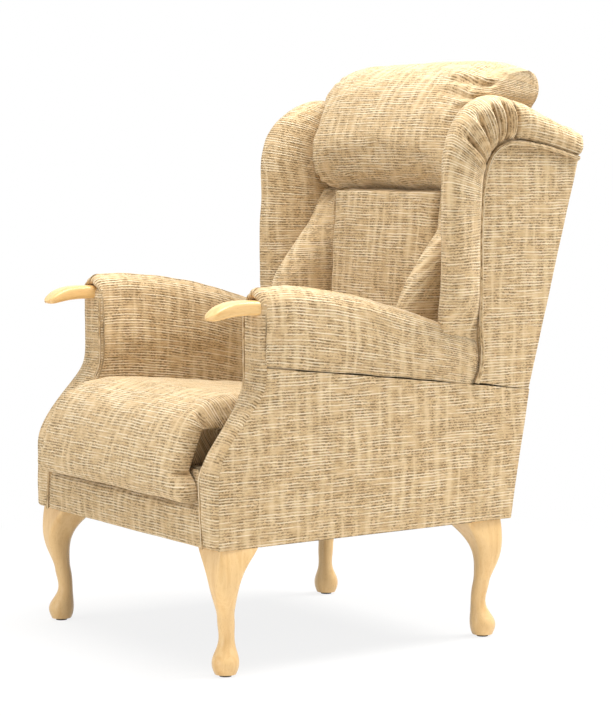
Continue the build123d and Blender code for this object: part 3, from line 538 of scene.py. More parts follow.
def fold(piece, lines):
    """Creases on a piece's front sheet, drawn on its weave map. Each line runs from (u, v) to
    (u, v) with a depth and a width. At a distance d from it the cloth sinks by
    depth * (exp(-(d/w)^2) - 0.35 exp(-((d-2w)/w)^2)), a valley with a low ridge on each side, and
    both fade towards the line's far end."""
    across, along = charts[piece.name]
    points = read_points(piece.data)
    sheet = points[: across.size].reshape(*across.shape, 3)
    normal = np.cross(np.gradient(sheet, axis=0), np.gradient(sheet, axis=1))
    normal /= np.maximum(np.linalg.norm(normal, axis=-1, keepdims=True), 1e-9)
    if (normal * (sheet - points.mean(axis=0))).sum() < 0:
        normal = -normal
    sunk = np.zeros(across.shape)
    for start, stop, depth, width in lines:
        run = np.subtract(stop, start)
        t = np.clip(((across - start[0]) * run[0] + (along - start[1]) * run[1]) / (run @ run), 0, 1)
        gap = np.hypot(across - start[0] - t * run[0], along - start[1] - t * run[1])
        valley = np.exp(-((gap / width) ** 2)) - 0.35 * np.exp(-(((gap - 2 * width) / width) ** 2))
        sunk += depth * valley * (1 - 0.8 * t * t)
    sunk[[0, -1]] = 0
    sunk[:, [0, -1]] = 0
    sheet -= normal * sunk[..., None]
    points[: across.size] = sheet.reshape(-1, 3)
    move_points(piece, points)


# %% Both sides of a piece
def make_pair(name, maker, nodes, bumps=None, swell=None, **finish):
    """A piece and its mirror image. maker(name, side) makes one, and multiplies its points by side,
    which is (1, 1, 1) or (-1, 1, 1). swell goes to stuff and bumps go to settle. nodes are the CAD
    nodes that it stands for, without their side."""
    for x, ending in ((1, "_left"), (-1, "_right")):
        piece = maker(name + ending, np.array([x, 1.0, 1.0]))
        if swell:
            stuff(piece, *swell)
        if bumps:
            settle(piece, *bumps)
        finish_piece(piece, "frame", [node + ending for node in nodes], **finish)
        print(piece.name, "has", len(piece.data.vertices), "points")


# %% [markdown]
# ## Seat cushion
# The loose cushion has a waterfall front: its top runs on over the front edge and down to a lip
# over the border. On both sides the top overhangs a hollow beside the arm, and the lip spreads
# again below it. A swollen box would give a plain pillow, and remeshing would round the lip away.
# So the cushion is made as it is cut, from two sheets that meet round the sides, and the
# simulation only tightens their cloth.

# %% Lines of the seat cushion
cushion_top = np.array([
    (0.1985, 0.378), (0.1975, 0.415), (0.176, 0.4375), (0.100, 0.4475), (0.003, 0.4590),
    (-0.138, 0.4710), (-0.252, 0.4810), (-0.320, 0.4860), (-0.371, 0.4780), (-0.396, 0.4660),
    (-0.416, 0.4480), (-0.431, 0.4200), (-0.441, 0.3910), (-0.449, 0.3610), (-0.4540, 0.3370),
    (-0.453, 0.3160), (-0.445, 0.3045), (-0.431, 0.3030)])
cushion_under = np.array([
    (0.1985, 0.378), (0.1970, 0.335), (0.180, 0.3205), (0.050, 0.3313), (-0.150, 0.3477),
    (-0.300, 0.3600), (-0.380, 0.3666), (-0.4120, 0.3692), (-0.4190, 0.3640), (-0.4195, 0.3480),
    (-0.4195, 0.3330), (-0.4215, 0.3200), (-0.4250, 0.3080), (-0.431, 0.3030)])
# Where the side border of the drop front lies: a height on the top line, and the border's y and z.
cushion_border = np.array([
    (0.3000, -0.4125, 0.3060), (0.3200, -0.4100, 0.3200), (0.3370, -0.4090, 0.3370),
    (0.3520, -0.4130, 0.3520), (0.3610, -0.4180, 0.3610), (0.3730, -0.4120, 0.3730),
    (0.4000, -0.4035, 0.4000), (0.4200, -0.3970, 0.4180), (0.4330, -0.3920, 0.4300),
    (0.4480, -0.3850, 0.4335), (0.4660, -0.3700, 0.4335), (0.4780, -0.3450, 0.4345)])
cushion_rows = 150
top_line = soften(cushion_top, cushion_rows, 0.007)
under_line = soften(cushion_under, cushion_rows, 0.005)
on_deck = under_line[:, 0] > -0.414
under_line[on_deck, 1] = np.maximum(under_line[on_deck, 1], deck_z(under_line[on_deck, 0]) + 0.0006)
print("cushion's top line runs from", top_line[0].round(3), "to its lip at", top_line[-1].round(3))


# %% Seat cushion's two sheets
def seat_cushion():
    """Rows follow the top line from the rear to the lip, columns run across. The half width follows
    the arms. On the front the side border keeps to a line of its own: it stays high under the nose,
    runs down behind the drop, and at the lip comes out over the facings' inner edges. The drop's side
    is flat for the straight share of its steps and then turns a corner of 0.075 half widths, 20 mm.
    Below the nose the hidden sheet is drawn in, which leaves a hollow."""
    corner_steps, top_steps = 10, 56
    across, rise = loaf(2.0, 0.13, corner_steps, top_steps)
    place = across - 1
    y, z = top_line[:, 0], top_line[:, 1]
    on_front = smoothstep(-y, 0.345, 0.385)
    nose = on_front * smoothstep(z, 0.355, 0.375)
    lip = on_front * (1 - smoothstep(z, 0.322, 0.356))
    half = inner_x(y) - 0.0055 - 0.004 * on_front + 0.018 * lip
    border = np.stack([np.interp(z, cushion_border[:, 0], cushion_border[:, k]) for k in (1, 2)], axis=1)
    middle = (top_line + under_line) / 2
    middle = middle + (border - middle) * on_front[:, None]
    crown = 0.004 * (1 - place**2)
    corner, straight = 0.075, 0.45
    q = np.linspace(0, 1, corner_steps)
    turn = np.clip((q - straight) / (1 - straight), 0, 1) * np.pi / 2
    side_in = corner * (1 - np.cos(turn))
    side_up = np.where(q < straight, q / straight / 2, 0.5 + 0.5 * np.sin(turn))
    flat = np.linspace(corner, 2 - corner, top_steps + 2)[1:-1]
    crisp_place = np.concatenate([side_in, flat, 2 - side_in[::-1]]) - 1
    crisp_rise = np.concatenate([side_up, np.ones(top_steps), side_up[::-1]])
    crisp = (on_front * (1 - smoothstep(z, 0.440, 0.466)))[:, None]
    full = rise + (crisp_rise - rise) * crisp
    late = np.interp(rise, [0, 0.18, 0.35, 0.5, 0.65], [0, 0, 0.04, 0.4, 1])
    under_full = rise + (late - rise) * nose[:, None]
    (face_y, face_z), (back_y, back_z) = (
        [middle[:, k : k + 1] + (line - middle)[:, k : k + 1] * share for k in (0, 1)]
        for line, share in ((top_line, full), (under_line, under_full)))
    face_z = face_z + crown * np.sin(np.linspace(0, np.pi, cushion_rows))[:, None]
    face_x = half[:, None] * (place + (crisp_place - place) * crisp)
    drawn_in = np.interp(rise, [0, 0.18, 0.35], [0, 0.005, 0.030]) * smoothstep(np.abs(place), 0.5, 0.9)
    back_x = half[:, None] * place - np.sign(place) * (nose[:, None] * drawn_in)
    face = np.stack([face_x, face_y, face_z], axis=-1)
    back = np.stack([back_x, back_y, back_z], axis=-1)
    for sheet in (face, back):
        sheet[:, [0, -1]] = (face[:, [0, -1]] + back[:, [0, -1]]) / 2
    walked = travelled(top_line, 0)[:, None] * np.ones_like(place)
    sideways = travelled(face, 1)
    return stuffed("seat_cushion_cover", face, back, sideways - sideways[:, -1:] / 2, walked)


# %% Seat cushion, stuffed and creased
cushion = seat_cushion()
stuff(cushion, 3.0, 0.005)
settle(cushion, 0.0007, 0.09, 11)
# Two creases run in from each side of the front: a pinch above the lip and a bend below the nose.
sideways, walked = charts["seat_cushion_cover"]
on_drop = top_line[:, 0] < -0.38
pinch, bend = (0.357, 0.050, 0.003, 0.0100, 0.0040), (0.452, 0.060, 0.026, 0.0080, 0.0055)
for height, run, drop, depth, width in (pinch, bend):
    row = int(np.argmin(np.abs(top_line[:, 1] - height) + ~on_drop))
    edge, start = sideways[row, -1], walked[row, 0]
    fold(cushion, [((side * edge, start), (side * (edge - run), start - drop), depth, width)
                   for side in (1, -1)])
finish_piece(cushion, "cushion", ["seat_cushion"], fill=0.8)
print("seat cushion:", len(cushion.data.vertices), "points")

# %% [markdown]
# ## Back pads
# Three fibre-filled pads lean on the webbing: a shallow one in the middle, and one each side
# that is thin under the pillow and swells forward beside the sitter. They could be swollen boxes,
# but a pad's side view is what gives it its character. So each is two sheets: a front that is
# drawn from its side view, and a rear that lies flat on the straps.

# %% Back pads
pad_rear = 0.0525  # webbing's front face, measured from the rear face


def on_webbing(front, across):
    """Heights of a pad's rows, the Y of its rear, and each row's share of its full thickness, which
    rises as a square root from the pad's foot and is nothing at its top."""
    z = front[:, 1:2] * np.ones_like(across)
    fullness = np.clip(np.linspace(0, 9, len(front)), 0, 1) ** 0.5
    fullness[-1] = 0
    return z, rear_y(z) - pad_rear - 0.0006, fullness[:, None]


def centre_pad():
    """Front line: nearly upright, hollowed a little at seat height. The pad is full thickness
    almost to its sides, where it presses on its neighbours in a crease 13 mm deep."""
    rows, reach = 60, 0.1795
    front = soften([
        (0.186, 0.4550), (0.176, 0.475), (0.168, 0.520), (0.165, 0.590), (0.166, 0.660),
        (0.171, 0.740), (0.177, 0.810), (0.181, 0.8620)], rows, 0.015)
    across, rise = loaf(2 * reach - 0.001, 0.022, 8, 30)
    across = np.concatenate([[0], across + 0.0005, [2 * reach]])
    rise = np.concatenate([[0], 0.90 + 0.10 * rise, [0]])
    bulge = -0.012 * (1 - ((across - reach) / reach) ** 2) ** 0.8
    z, rear, fullness = on_webbing(front, across)
    face_y = rear + (front[:, :1] + bulge - rear) * rise * fullness
    x = (across - reach)[None, :] * np.ones((rows, 1))
    face = np.stack([x, face_y, z], axis=-1)
    back = np.stack([x, rear, z], axis=-1)
    return stuffed("centre_pad_cover", face, back, x, travelled(front, 0)[:, None] + 0 * x)


def side_pad(name, side):
    """Each row rises from the crease beside the middle pad, in a quarter-wave over 42 mm, to the
    swelling front line, and turns in again over 12 mm where it meets the wing."""
    rows, width = 60, 0.0720
    front = soften([
        (0.104, 0.4550), (0.080, 0.473), (0.056, 0.510), (0.042, 0.570), (0.046, 0.625),
        (0.072, 0.680), (0.108, 0.730), (0.152, 0.780), (0.200, 0.832), (0.232, 0.8620)], rows, 0.016)
    inner = 0.0005 + 0.042 * np.linspace(0, 1, 14) ** 1.2
    flat = np.linspace(0.0425, width - 0.0125, 6)[1:-1]
    outer = width - 0.0005 - 0.012 * (1 - np.sin(np.linspace(0, np.pi / 2, 7)))
    across = np.concatenate([[0], inner, flat, outer, [width]])
    level = np.sin(np.pi / 2 * np.clip(across / 0.042, 0, 1)) ** 0.85
    at_wing = ((across - width + 0.0125) / 0.012).clip(0, 1)
    level *= 1 - 0.5 * (1 - np.sqrt(1 - at_wing**2))
    z, rear, fullness = on_webbing(front, across)
    crease_y = 0.183
    shown_y = crease_y + (front[:, :1] - crease_y) * level
    shown_y[:, [0, -1]] = rear[:, [0, -1]]
    face_y = rear + (shown_y - rear) * fullness
    x = 0.1800 + across[None, :] + np.zeros((rows, 1))
    face = np.stack([x, face_y, z], axis=-1) * side
    back = np.stack([x, rear, z], axis=-1) * side
    walk = travelled(face, 1)
    return stuffed(name, face, back, walk - walk[:, 1:2], travelled(front, 0)[:, None] + 0 * walk)


middle_pad = centre_pad()
stuff(middle_pad, 3.0, 0.004)
settle(middle_pad, 0.0012, 0.10, 21)
finish_piece(middle_pad, "frame", ["centre_back_pad"], fill=0.6)
print(middle_pad.name, "has", len(middle_pad.data.vertices), "points")
make_pair("side_pad_cover", side_pad, ["side_back_pad"], (0.0010, 0.08, 22), (3.0, 0.003), fill=0.6)

# %% [markdown]
# ## Head pillow
# A thick fibre pillow is sewn across the top of the back. Its filling makes it slump: the
# front bellies out low down, and the closing seam at its top end gathers the cloth into dimples.
# Cloth simulation alone wrinkles where it likes. Here it only fills the pillow out, and the
# dimples are sunk along lines that are drawn on the weave map.

# %% Head pillow's two sheets
pillow_rows = 84
pillow_front = soften([
    (0.300, 0.8560), (0.240, 0.8535), (0.192, 0.8560), (0.166, 0.874), (0.155, 0.903),
    (0.159, 0.950), (0.175, 1.000), (0.200, 1.046), (0.238, 1.083), (0.285, 1.102), (0.335, 1.104)
], pillow_rows, 0.009)
pillow_back = soften([
    (0.300, 0.8560), (0.345, 0.8570), (0.368, 0.868), (0.374, 0.893), (0.366, 0.940),
    (0.368, 0.990), (0.378, 1.040), (0.380, 1.068), (0.370, 1.092), (0.352, 1.103), (0.335, 1.104)
], pillow_rows, 0.009)


def head_pillow():
    """Rows run from the seam under the pillow over the front to the top seam. Across, both sheets
    swell away from the middle line by the loaf's rise. The ends are pressed flat on the wings, spread
    over them above their tops, and slope down there, more at the near end."""
    reach = 0.2535
    across, rise = loaf(2 * reach, 0.028, 12, 96)
    rise = rise**0.6
    place = (across - reach) / reach
    middle = (pillow_front + pillow_back) / 2
    centre = middle.mean(axis=0)
    gather = 1 - 0.03 * np.abs(place) ** 4
    sheets = []
    for line in (pillow_front, pillow_back):
        profile = middle[:, None] + (line - middle)[:, None] * rise[None, :, None]
        profile = centre + (profile - centre) * gather[None, :, None]
        high = smoothstep(profile[..., 1], 0.995, 1.060)
        profile[..., 1] -= high * (0.010 + 0.006 * np.sign(place)) * smoothstep(np.abs(place), 0.62, 1.0)
        x = (across - reach) * (1 + 0.060 * high)
        sheets.append(np.concatenate([x[..., None], profile], axis=-1))
    walked = travelled(pillow_front, 0)[:, None] * np.ones_like(place)
    sideways = travelled(sheets[0], 1)
    return stuffed("head_pillow_cover", sheets[0], sheets[1], sideways - sideways[:, -1:] / 2, walked)


# %% Head pillow, stuffed and creased
pillow = head_pillow()
stuff(pillow, 4.0, 0.008)
settle(pillow, 0.0016, 0.10, 31)
fold(pillow, [
    # near end: two deep dimples that point at the end seam, and the seam itself
    ((0.268, 0.364), (0.165, 0.344), 0.0110, 0.0070),
    ((0.272, 0.322), (0.165, 0.316), 0.0100, 0.0075),
    ((0.272, 0.345), (0.215, 0.334), 0.0040, 0.0040),
    ((0.272, 0.290), (0.225, 0.284), 0.0045, 0.0050),
    ((0.236, 0.392), (0.262, 0.366), 0.0040, 0.0028),
    ((0.215, 0.412), (0.236, 0.392), 0.0040, 0.0028),
    # lower corners: short puckers where the filling stops
    ((-0.262, 0.130), (-0.195, 0.142), 0.0055, 0.0045),
    ((-0.262, 0.156), (-0.215, 0.168), 0.0040, 0.0045),
    ((-0.256, 0.108), (-0.205, 0.118), 0.0050, 0.0040),
    ((0.262, 0.130), (0.205, 0.142), 0.0055, 0.0045),
    ((0.262, 0.156), (0.220, 0.168), 0.0040, 0.0045),
    # far end's top, and faint drag lines low on the front
    ((-0.262, 0.372), (-0.215, 0.366), 0.0030, 0.0060),
    ((-0.105, 0.120), (-0.150, 0.190), 0.0026, 0.0070),
    ((0.080, 0.118), (0.030, 0.175), 0.0022, 0.0070),
])
finish_piece(pillow, "frame", ["head_pillow"], fill=0.7)
print("pillow:", len(pillow.data.vertices), "points")

# %% [markdown]
# ## Arms
# One cloth covers each arm: from the seam along the outside, over the padded top and down the
# inside to the seat. In front it rolls over above the hand grip, where it is gathered. It is
# stretched over a hard arm, so it keeps the arm's shape and needs no simulation: one section is
# worked out for every row along the arm, and the nose is a half turn of such rows.

# %% Lines of the arm
facing_corners = [
    (arm_front_y, 0.6600), (arm_front_y, 0.560), (arm_front_y, 0.508), (-0.345, 0.4700),
    (-0.392, 0.4160), (front_y, 0.3720), (front_y, 0.330), (front_y, base_z)]
facing_line = soften(facing_corners, 90, 0.017)
arm_rows, nose_rows = 72, 13
arm_top_line = soften([
    (-0.298, 0.6840), (-0.245, 0.6855), (-0.170, 0.6775), (-0.082, 0.6620), (0.007, 0.6370),
    (0.098, 0.6080), (0.150, 0.5900), (0.190, 0.5780)], arm_rows, 0.012)


def facing_y(z):
    """Y of the facing's front line at a height."""
    return np.interp(z, facing_line[::-1, 1], facing_line[::-1, 0])


def facing_inner_x(z):
    """The facing's inner edge: straight beside the seat, then it runs out by 24 mm on its way down."""
    beside_drop = 0.018 * (1 - smoothstep(z, 0.300, 0.400))
    below_lip = 0.006 * (1 - smoothstep(z, base_z, 0.300))
    return inner_x(facing_y(z)) + beside_drop + below_lip


def recess(z):
    """How far the facing's inner edge falls back beside the cushion's drop: a bell of up to 31 mm
    about 415 mm above the floor, wider above than below."""
    return 0.031 * np.exp(-(((z - 0.415) / np.where(z > 0.415, 0.062, 0.044)) ** 2))


# %% Section of the arm
def arm_section(y, top, inset, outer_count=14, arc=9, flat=9, inner_count=26):
    """A section of the arm, from the outer seam up, over the top and down to the seat: two upright
    sides joined by elliptic shoulders and a slightly crowned top. inset gives the hidden sheet."""
    low_outer = seam_z(y)[:, None]
    low_inner = (deck_z(y) - 0.010)[:, None]
    x_out, x_in = outer_x(y)[:, None] - inset, inner_x(y)[:, None] + inset
    top = top[:, None] - inset
    radius = np.minimum(0.030, (x_out - x_in) * 0.45)
    slim = 1 - 0.55 * smoothstep(y, -0.02, 0.17)[:, None]
    radius = radius * slim
    drop = np.minimum(0.034 * slim, 0.6 * (top - low_outer))
    t = np.linspace(0, 1, outer_count)[None, :]
    outer_z = low_outer + (top - drop - low_outer) * t
    tuck = 0.0006 * np.exp(-((outer_z - low_outer) / 0.0018) ** 2)
    outer = np.stack([x_out - tuck + 0.0035 * np.sin(np.pi * t) + 0 * outer_z, outer_z], axis=-1)
    turn = np.linspace(0, np.pi / 2, arc + 1)[None, 1:]
    shoulder = np.stack([x_out - radius * (1 - np.cos(turn)), top - drop * (1 - np.sin(turn))], axis=-1)
    s = np.linspace(0, 1, flat + 2)[None, 1:-1]
    over_x = x_out - radius - (x_out - x_in - 2 * radius) * s
    over = np.stack([over_x, top + 0.003 * np.sin(np.pi * s)], axis=-1)
    turn = turn[:, ::-1]
    inner_shoulder = np.stack(
        [x_in + radius * (1 - np.cos(turn)), top - drop * (1 - np.sin(turn))], axis=-1)
    t = np.linspace(0, 1, inner_count)[None, :]
    inner_z = (top - drop) + (low_inner - top + drop) * t
    bulge = 0.006 * np.sin(np.pi * smoothstep(inner_z, 0.475, 0.66)) * (inner_z > 0.475)
    inner = np.stack([x_in - bulge, inner_z + 0 * x_in], axis=-1)
    return np.concatenate([outer, shoulder, over, inner_shoulder, inner], axis=1)


# %% Arm covers
def arm_cover(name, side):
    """The nose is a half turn of rows: from above the grip, forward, up and back. The top's columns
    take the whole turn and the sides' columns only their place behind the facing. The gathers over
    the grip are a cosine wave of 12.5 mm. At the rear the outer side is drawn in under the wing, and
    the rows end on the wing's front line."""
    nose_reach, side_y, gather_pitch = 0.019, -0.3015, 0.0125
    turn = np.linspace(-np.pi / 2, np.pi / 2, nose_rows)[:-1]
    nose_top = 0.6740 + 0.0100 * np.sin(turn)
    nose_y = -0.298 - nose_reach * np.cos(turn)
    y = np.concatenate([np.linspace(side_y, -0.2985, nose_rows - 1), arm_top_line[:, 0]])
    top = np.concatenate([nose_top, arm_top_line[:, 1]])
    shown = arm_section(y, top, 0.0)
    hidden = arm_section(y, top - 0.004, 0.009)
    height = shown[..., 1]
    share = smoothstep(height, 0.640, 0.668)
    forward = np.zeros((len(y), 1))
    forward[: nose_rows - 1, 0] = nose_y - y[: nose_rows - 1]
    centre = (outer_x(y) + inner_x(y))[:, None] / 2
    inner_half, outer_half = shown[..., 0] < centre, shown[..., 0] > centre
    to_facing = np.minimum(-0.3095, facing_y(height) + 0.0025 + recess(height) * inner_half) - side_y
    near_front = 1 - smoothstep(y, side_y, -0.24)[:, None]
    place_y = y[:, None] + forward * share + to_facing * (1 - share) * near_front
    draw_in = (forward / nose_reach) * share * 0.006
    wing_front = np.array([
        (0.493, 0.1705), (0.517, 0.1825), (0.545, 0.1875), (0.564, 0.1850), (0.598, 0.1800)])
    seam_y = np.interp(height, *wing_front.T)
    place_y = place_y + (seam_y - 0.190) * smoothstep(y, 0.08, 0.19)[:, None]
    to_seam = np.clip(place_y[-1:] - place_y, 0, 1)
    shown_x = shown[..., 0] + np.sign(shown[..., 0] - centre) * draw_in
    shown_x = shown_x - 0.004 * outer_half * np.exp(-((to_seam / 0.004) ** 2))
    gathers = 0.0020 * np.cos(2 * np.pi * shown[..., 0] / gather_pitch) * (-forward / nose_reach) * share
    face = np.stack([shown_x, place_y + gathers, height], axis=-1)
    hidden_y = np.maximum(y[:, None] + 0.004, -0.296) + 0 * height
    back = np.stack([hidden[..., 0], hidden_y, hidden[..., 1]], axis=-1)
    plain_row = nose_rows + 4
    around = travelled(face[plain_row : plain_row + 1], 1) * np.ones((len(y), 1))
    return stuffed(name, face * side, back * side, place_y, around)


make_pair("arm_cover", arm_cover, ["arm_pad", "inside_arm"], (0.0009, 0.07, 41), fill=0.6)


# %% [markdown]
# ## Panels
# The outside arm, outside wing, outside back and front border are cloth over board and a thin
# layer of wadding. A flat board would meet its neighbours in one hard line. So each is a sheet
# whose edges turn in over 1.5 to 6 mm and whose middle stands slightly proud, with its hidden side
# flat on the board.

# %% Turned edges
def turned_edge(first, second, radius=0.006):
    """Quarter-circle rise from every edge: first and second are distances from the nearest edges."""
    near = np.minimum(np.clip(first / radius, 0, 1), np.clip(second / radius, 0, 1))
    return np.sqrt(1 - (1 - near) ** 2)


def crowded(count, length, edge=0.006):
    """Steps from 0 to 1 that are close together over the turned edges at both ends."""
    share = min(0.2, edge / length)
    ends = share * (1 - np.cos(np.linspace(0, np.pi / 2, 5)))
    return np.concatenate([ends, np.linspace(share, 1 - share, count)[1:-1], 1 - ends[::-1]])


# %% Outside arms
def outside_arm(name, side):
    """Rows rise from the bottom edge to the arm's seam, columns run from the facing to the rear. A
    few rounds of looking up settle the height where the seam slopes."""
    t = crowded(34, 0.3)[:, None]
    s = crowded(60, 0.5)[None, :]
    z = base_z + (0.5 - base_z) * t + 0 * s
    for _ in range(12):
        front, rear = facing_y(z) + 0.006, rear_y(z) - 0.002
        y = front * (1 - s) + rear * s
        tall = seam_z(y) + 0.0006 - base_z
        z = base_z + tall * t
    width = (rear_y(z) - 0.002) - (facing_y(z) + 0.006)
    rise = turned_edge(np.minimum(t, 1 - t) * tall, np.minimum(s, 1 - s) * width, 0.0015)
    middle = np.sin(np.pi * t) ** 0.7 * np.sin(np.pi * s) ** 0.7
    out = outer_x(y)
    face = np.stack([out - 0.002 * (1 - rise) + 0.004 * middle, y, z], axis=-1)
    back = np.stack([out - 0.002, y, z], axis=-1)
    return stuffed(name, face * side, back * side, y, z)


make_pair("outside_arm_cover", outside_arm, ["outside_arm"], (0.0005, 0.12, 51), fill=0.2)


# %% [markdown]
# ## Facings
# A facing is a thin padded board that hides the nails on the front of the arm, with a cord in the
# same cloth down its inner edge. It could be a flat cut-out, but its front line curves forward
# into the seat. So its rows follow that line, and each lies square to it.

# %% Facings
def facing(name, side):
    """Rows follow the S-shaped front line down, columns run across the arm from the outer seam to the
    inner edge, which falls back beside the cushion. The sheet stands in front of the post, with a
    turned edge 6 mm deep at both seams."""
    thick = 0.006
    ahead = np.gradient(facing_line, axis=0)
    ahead /= np.linalg.norm(ahead, axis=1, keepdims=True)
    out = np.stack([ahead[:, 1], -ahead[:, 0]], axis=1)
    s = crowded(12, 0.075)[None, :]
    y, z = facing_line[:, 0][:, None], facing_line[:, 1][:, None]
    width = outer_x(y) - facing_inner_x(z) + 0 * s
    y = y + recess(z) * s**4
    walked = travelled(facing_line, 0)[:, None]
    total = walked[-1, 0]
    rise = turned_edge(np.minimum(walked, total - walked) + 0 * s, np.minimum(s, 1 - s) * width)
    depth = thick * (rise - 1) + 0.0035 * np.sin(np.pi * s) ** 0.8
    x = outer_x(y) - width * s
    face = np.stack([x, y + out[:, :1] * depth, z + out[:, 1:] * depth], axis=-1)
    back = np.stack([x, y - thick * out[:, :1] + 0 * s, z - thick * out[:, 1:] + 0 * s], axis=-1)
    return stuffed(name, face * side, back * side, x, walked + 0 * s)


make_pair("arm_facing_cover", facing, ["arm_facing"], (0.0004, 0.06, 52), fill=0.3)
print("they run from", facing_line[0].round(3), "down to", facing_line[-1].round(3))


def facing_piping(name, side):
    """A 5 mm cord down the facing's inner edge."""
    line = facing_line[4:]
    x = facing_inner_x(line[:, 1]) + 0.004
    y = line[:, 0] - 0.0015 + 1.06 * recess(line[:, 1])
    path = np.stack([x, y, line[:, 1]], axis=1)
    return tube(name, cord_rings(path, (1, 0, 0), 0.0026, 10) * side)


make_pair("facing_piping_cover", facing_piping, ["facing_piping"])

# %% [markdown]
# ## Wings
# A padded roll runs up the front of each wing, over its top and down to the rear corner, and the
# same cloth covers the wing's inner face. On the outside it is pulled in under a piping. Where
# the roll turns the top front corner the spare cloth is laid in pleats that fan out from the piping.
# A simulation would have to be pinned at every pleat. So three lines are drawn instead, of the
# edge, the piping and the inner crease, and a section is carried along them with the pleats in it.

# %% Wing lines
# Each row pairs a point (y, z) of the wing's edge with one of the piping and one of the inner crease.
wing_pairs = np.array([
    (0.094, 0.555, 0.187, 0.555, 0.285, 0.555), (0.094, 0.700, 0.187, 0.700, 0.328, 0.700),
    (0.094, 0.790, 0.187, 0.800, 0.352, 0.790), (0.096, 0.867, 0.189, 0.850, 0.366, 0.840),
    (0.096, 0.913, 0.194, 0.874, 0.372, 0.862), (0.107, 0.957, 0.199, 0.893, 0.377, 0.880),
    (0.127, 0.990, 0.205, 0.909, 0.382, 0.895), (0.156, 1.014, 0.214, 0.924, 0.387, 0.905),
    (0.190, 1.030, 0.228, 0.938, 0.392, 0.914), (0.222, 1.036, 0.248, 0.949, 0.397, 0.921),
    (0.295, 1.018, 0.300, 0.949, 0.410, 0.930), (0.373, 0.989, 0.366, 0.937, 0.422, 0.935),
    (0.440, 0.9630, 0.434, 0.919, 0.438, 0.938)])
even_line = soften(wing_pairs, 500, 0.010)
# Sections stand at these shares of the line's length, close together where the pleats are.
wing_at = np.concatenate([
    np.linspace(0, 0.50, 58), np.linspace(0.50, 0.79, 104)[1:], np.linspace(0.79, 1, 24)[1:]])
even_at = np.linspace(0, 1, len(even_line))
wing_line = np.stack([np.interp(wing_at, even_at, axis) for axis in even_line.T], axis=1)
pleat_places = [0.536, 0.602, 0.663, 0.703, 0.750]
valley_width, valley_depth = 0.0075, 0.0190
lip_width, lip_height, lip_ahead = 0.0095, 0.0085, 0.018


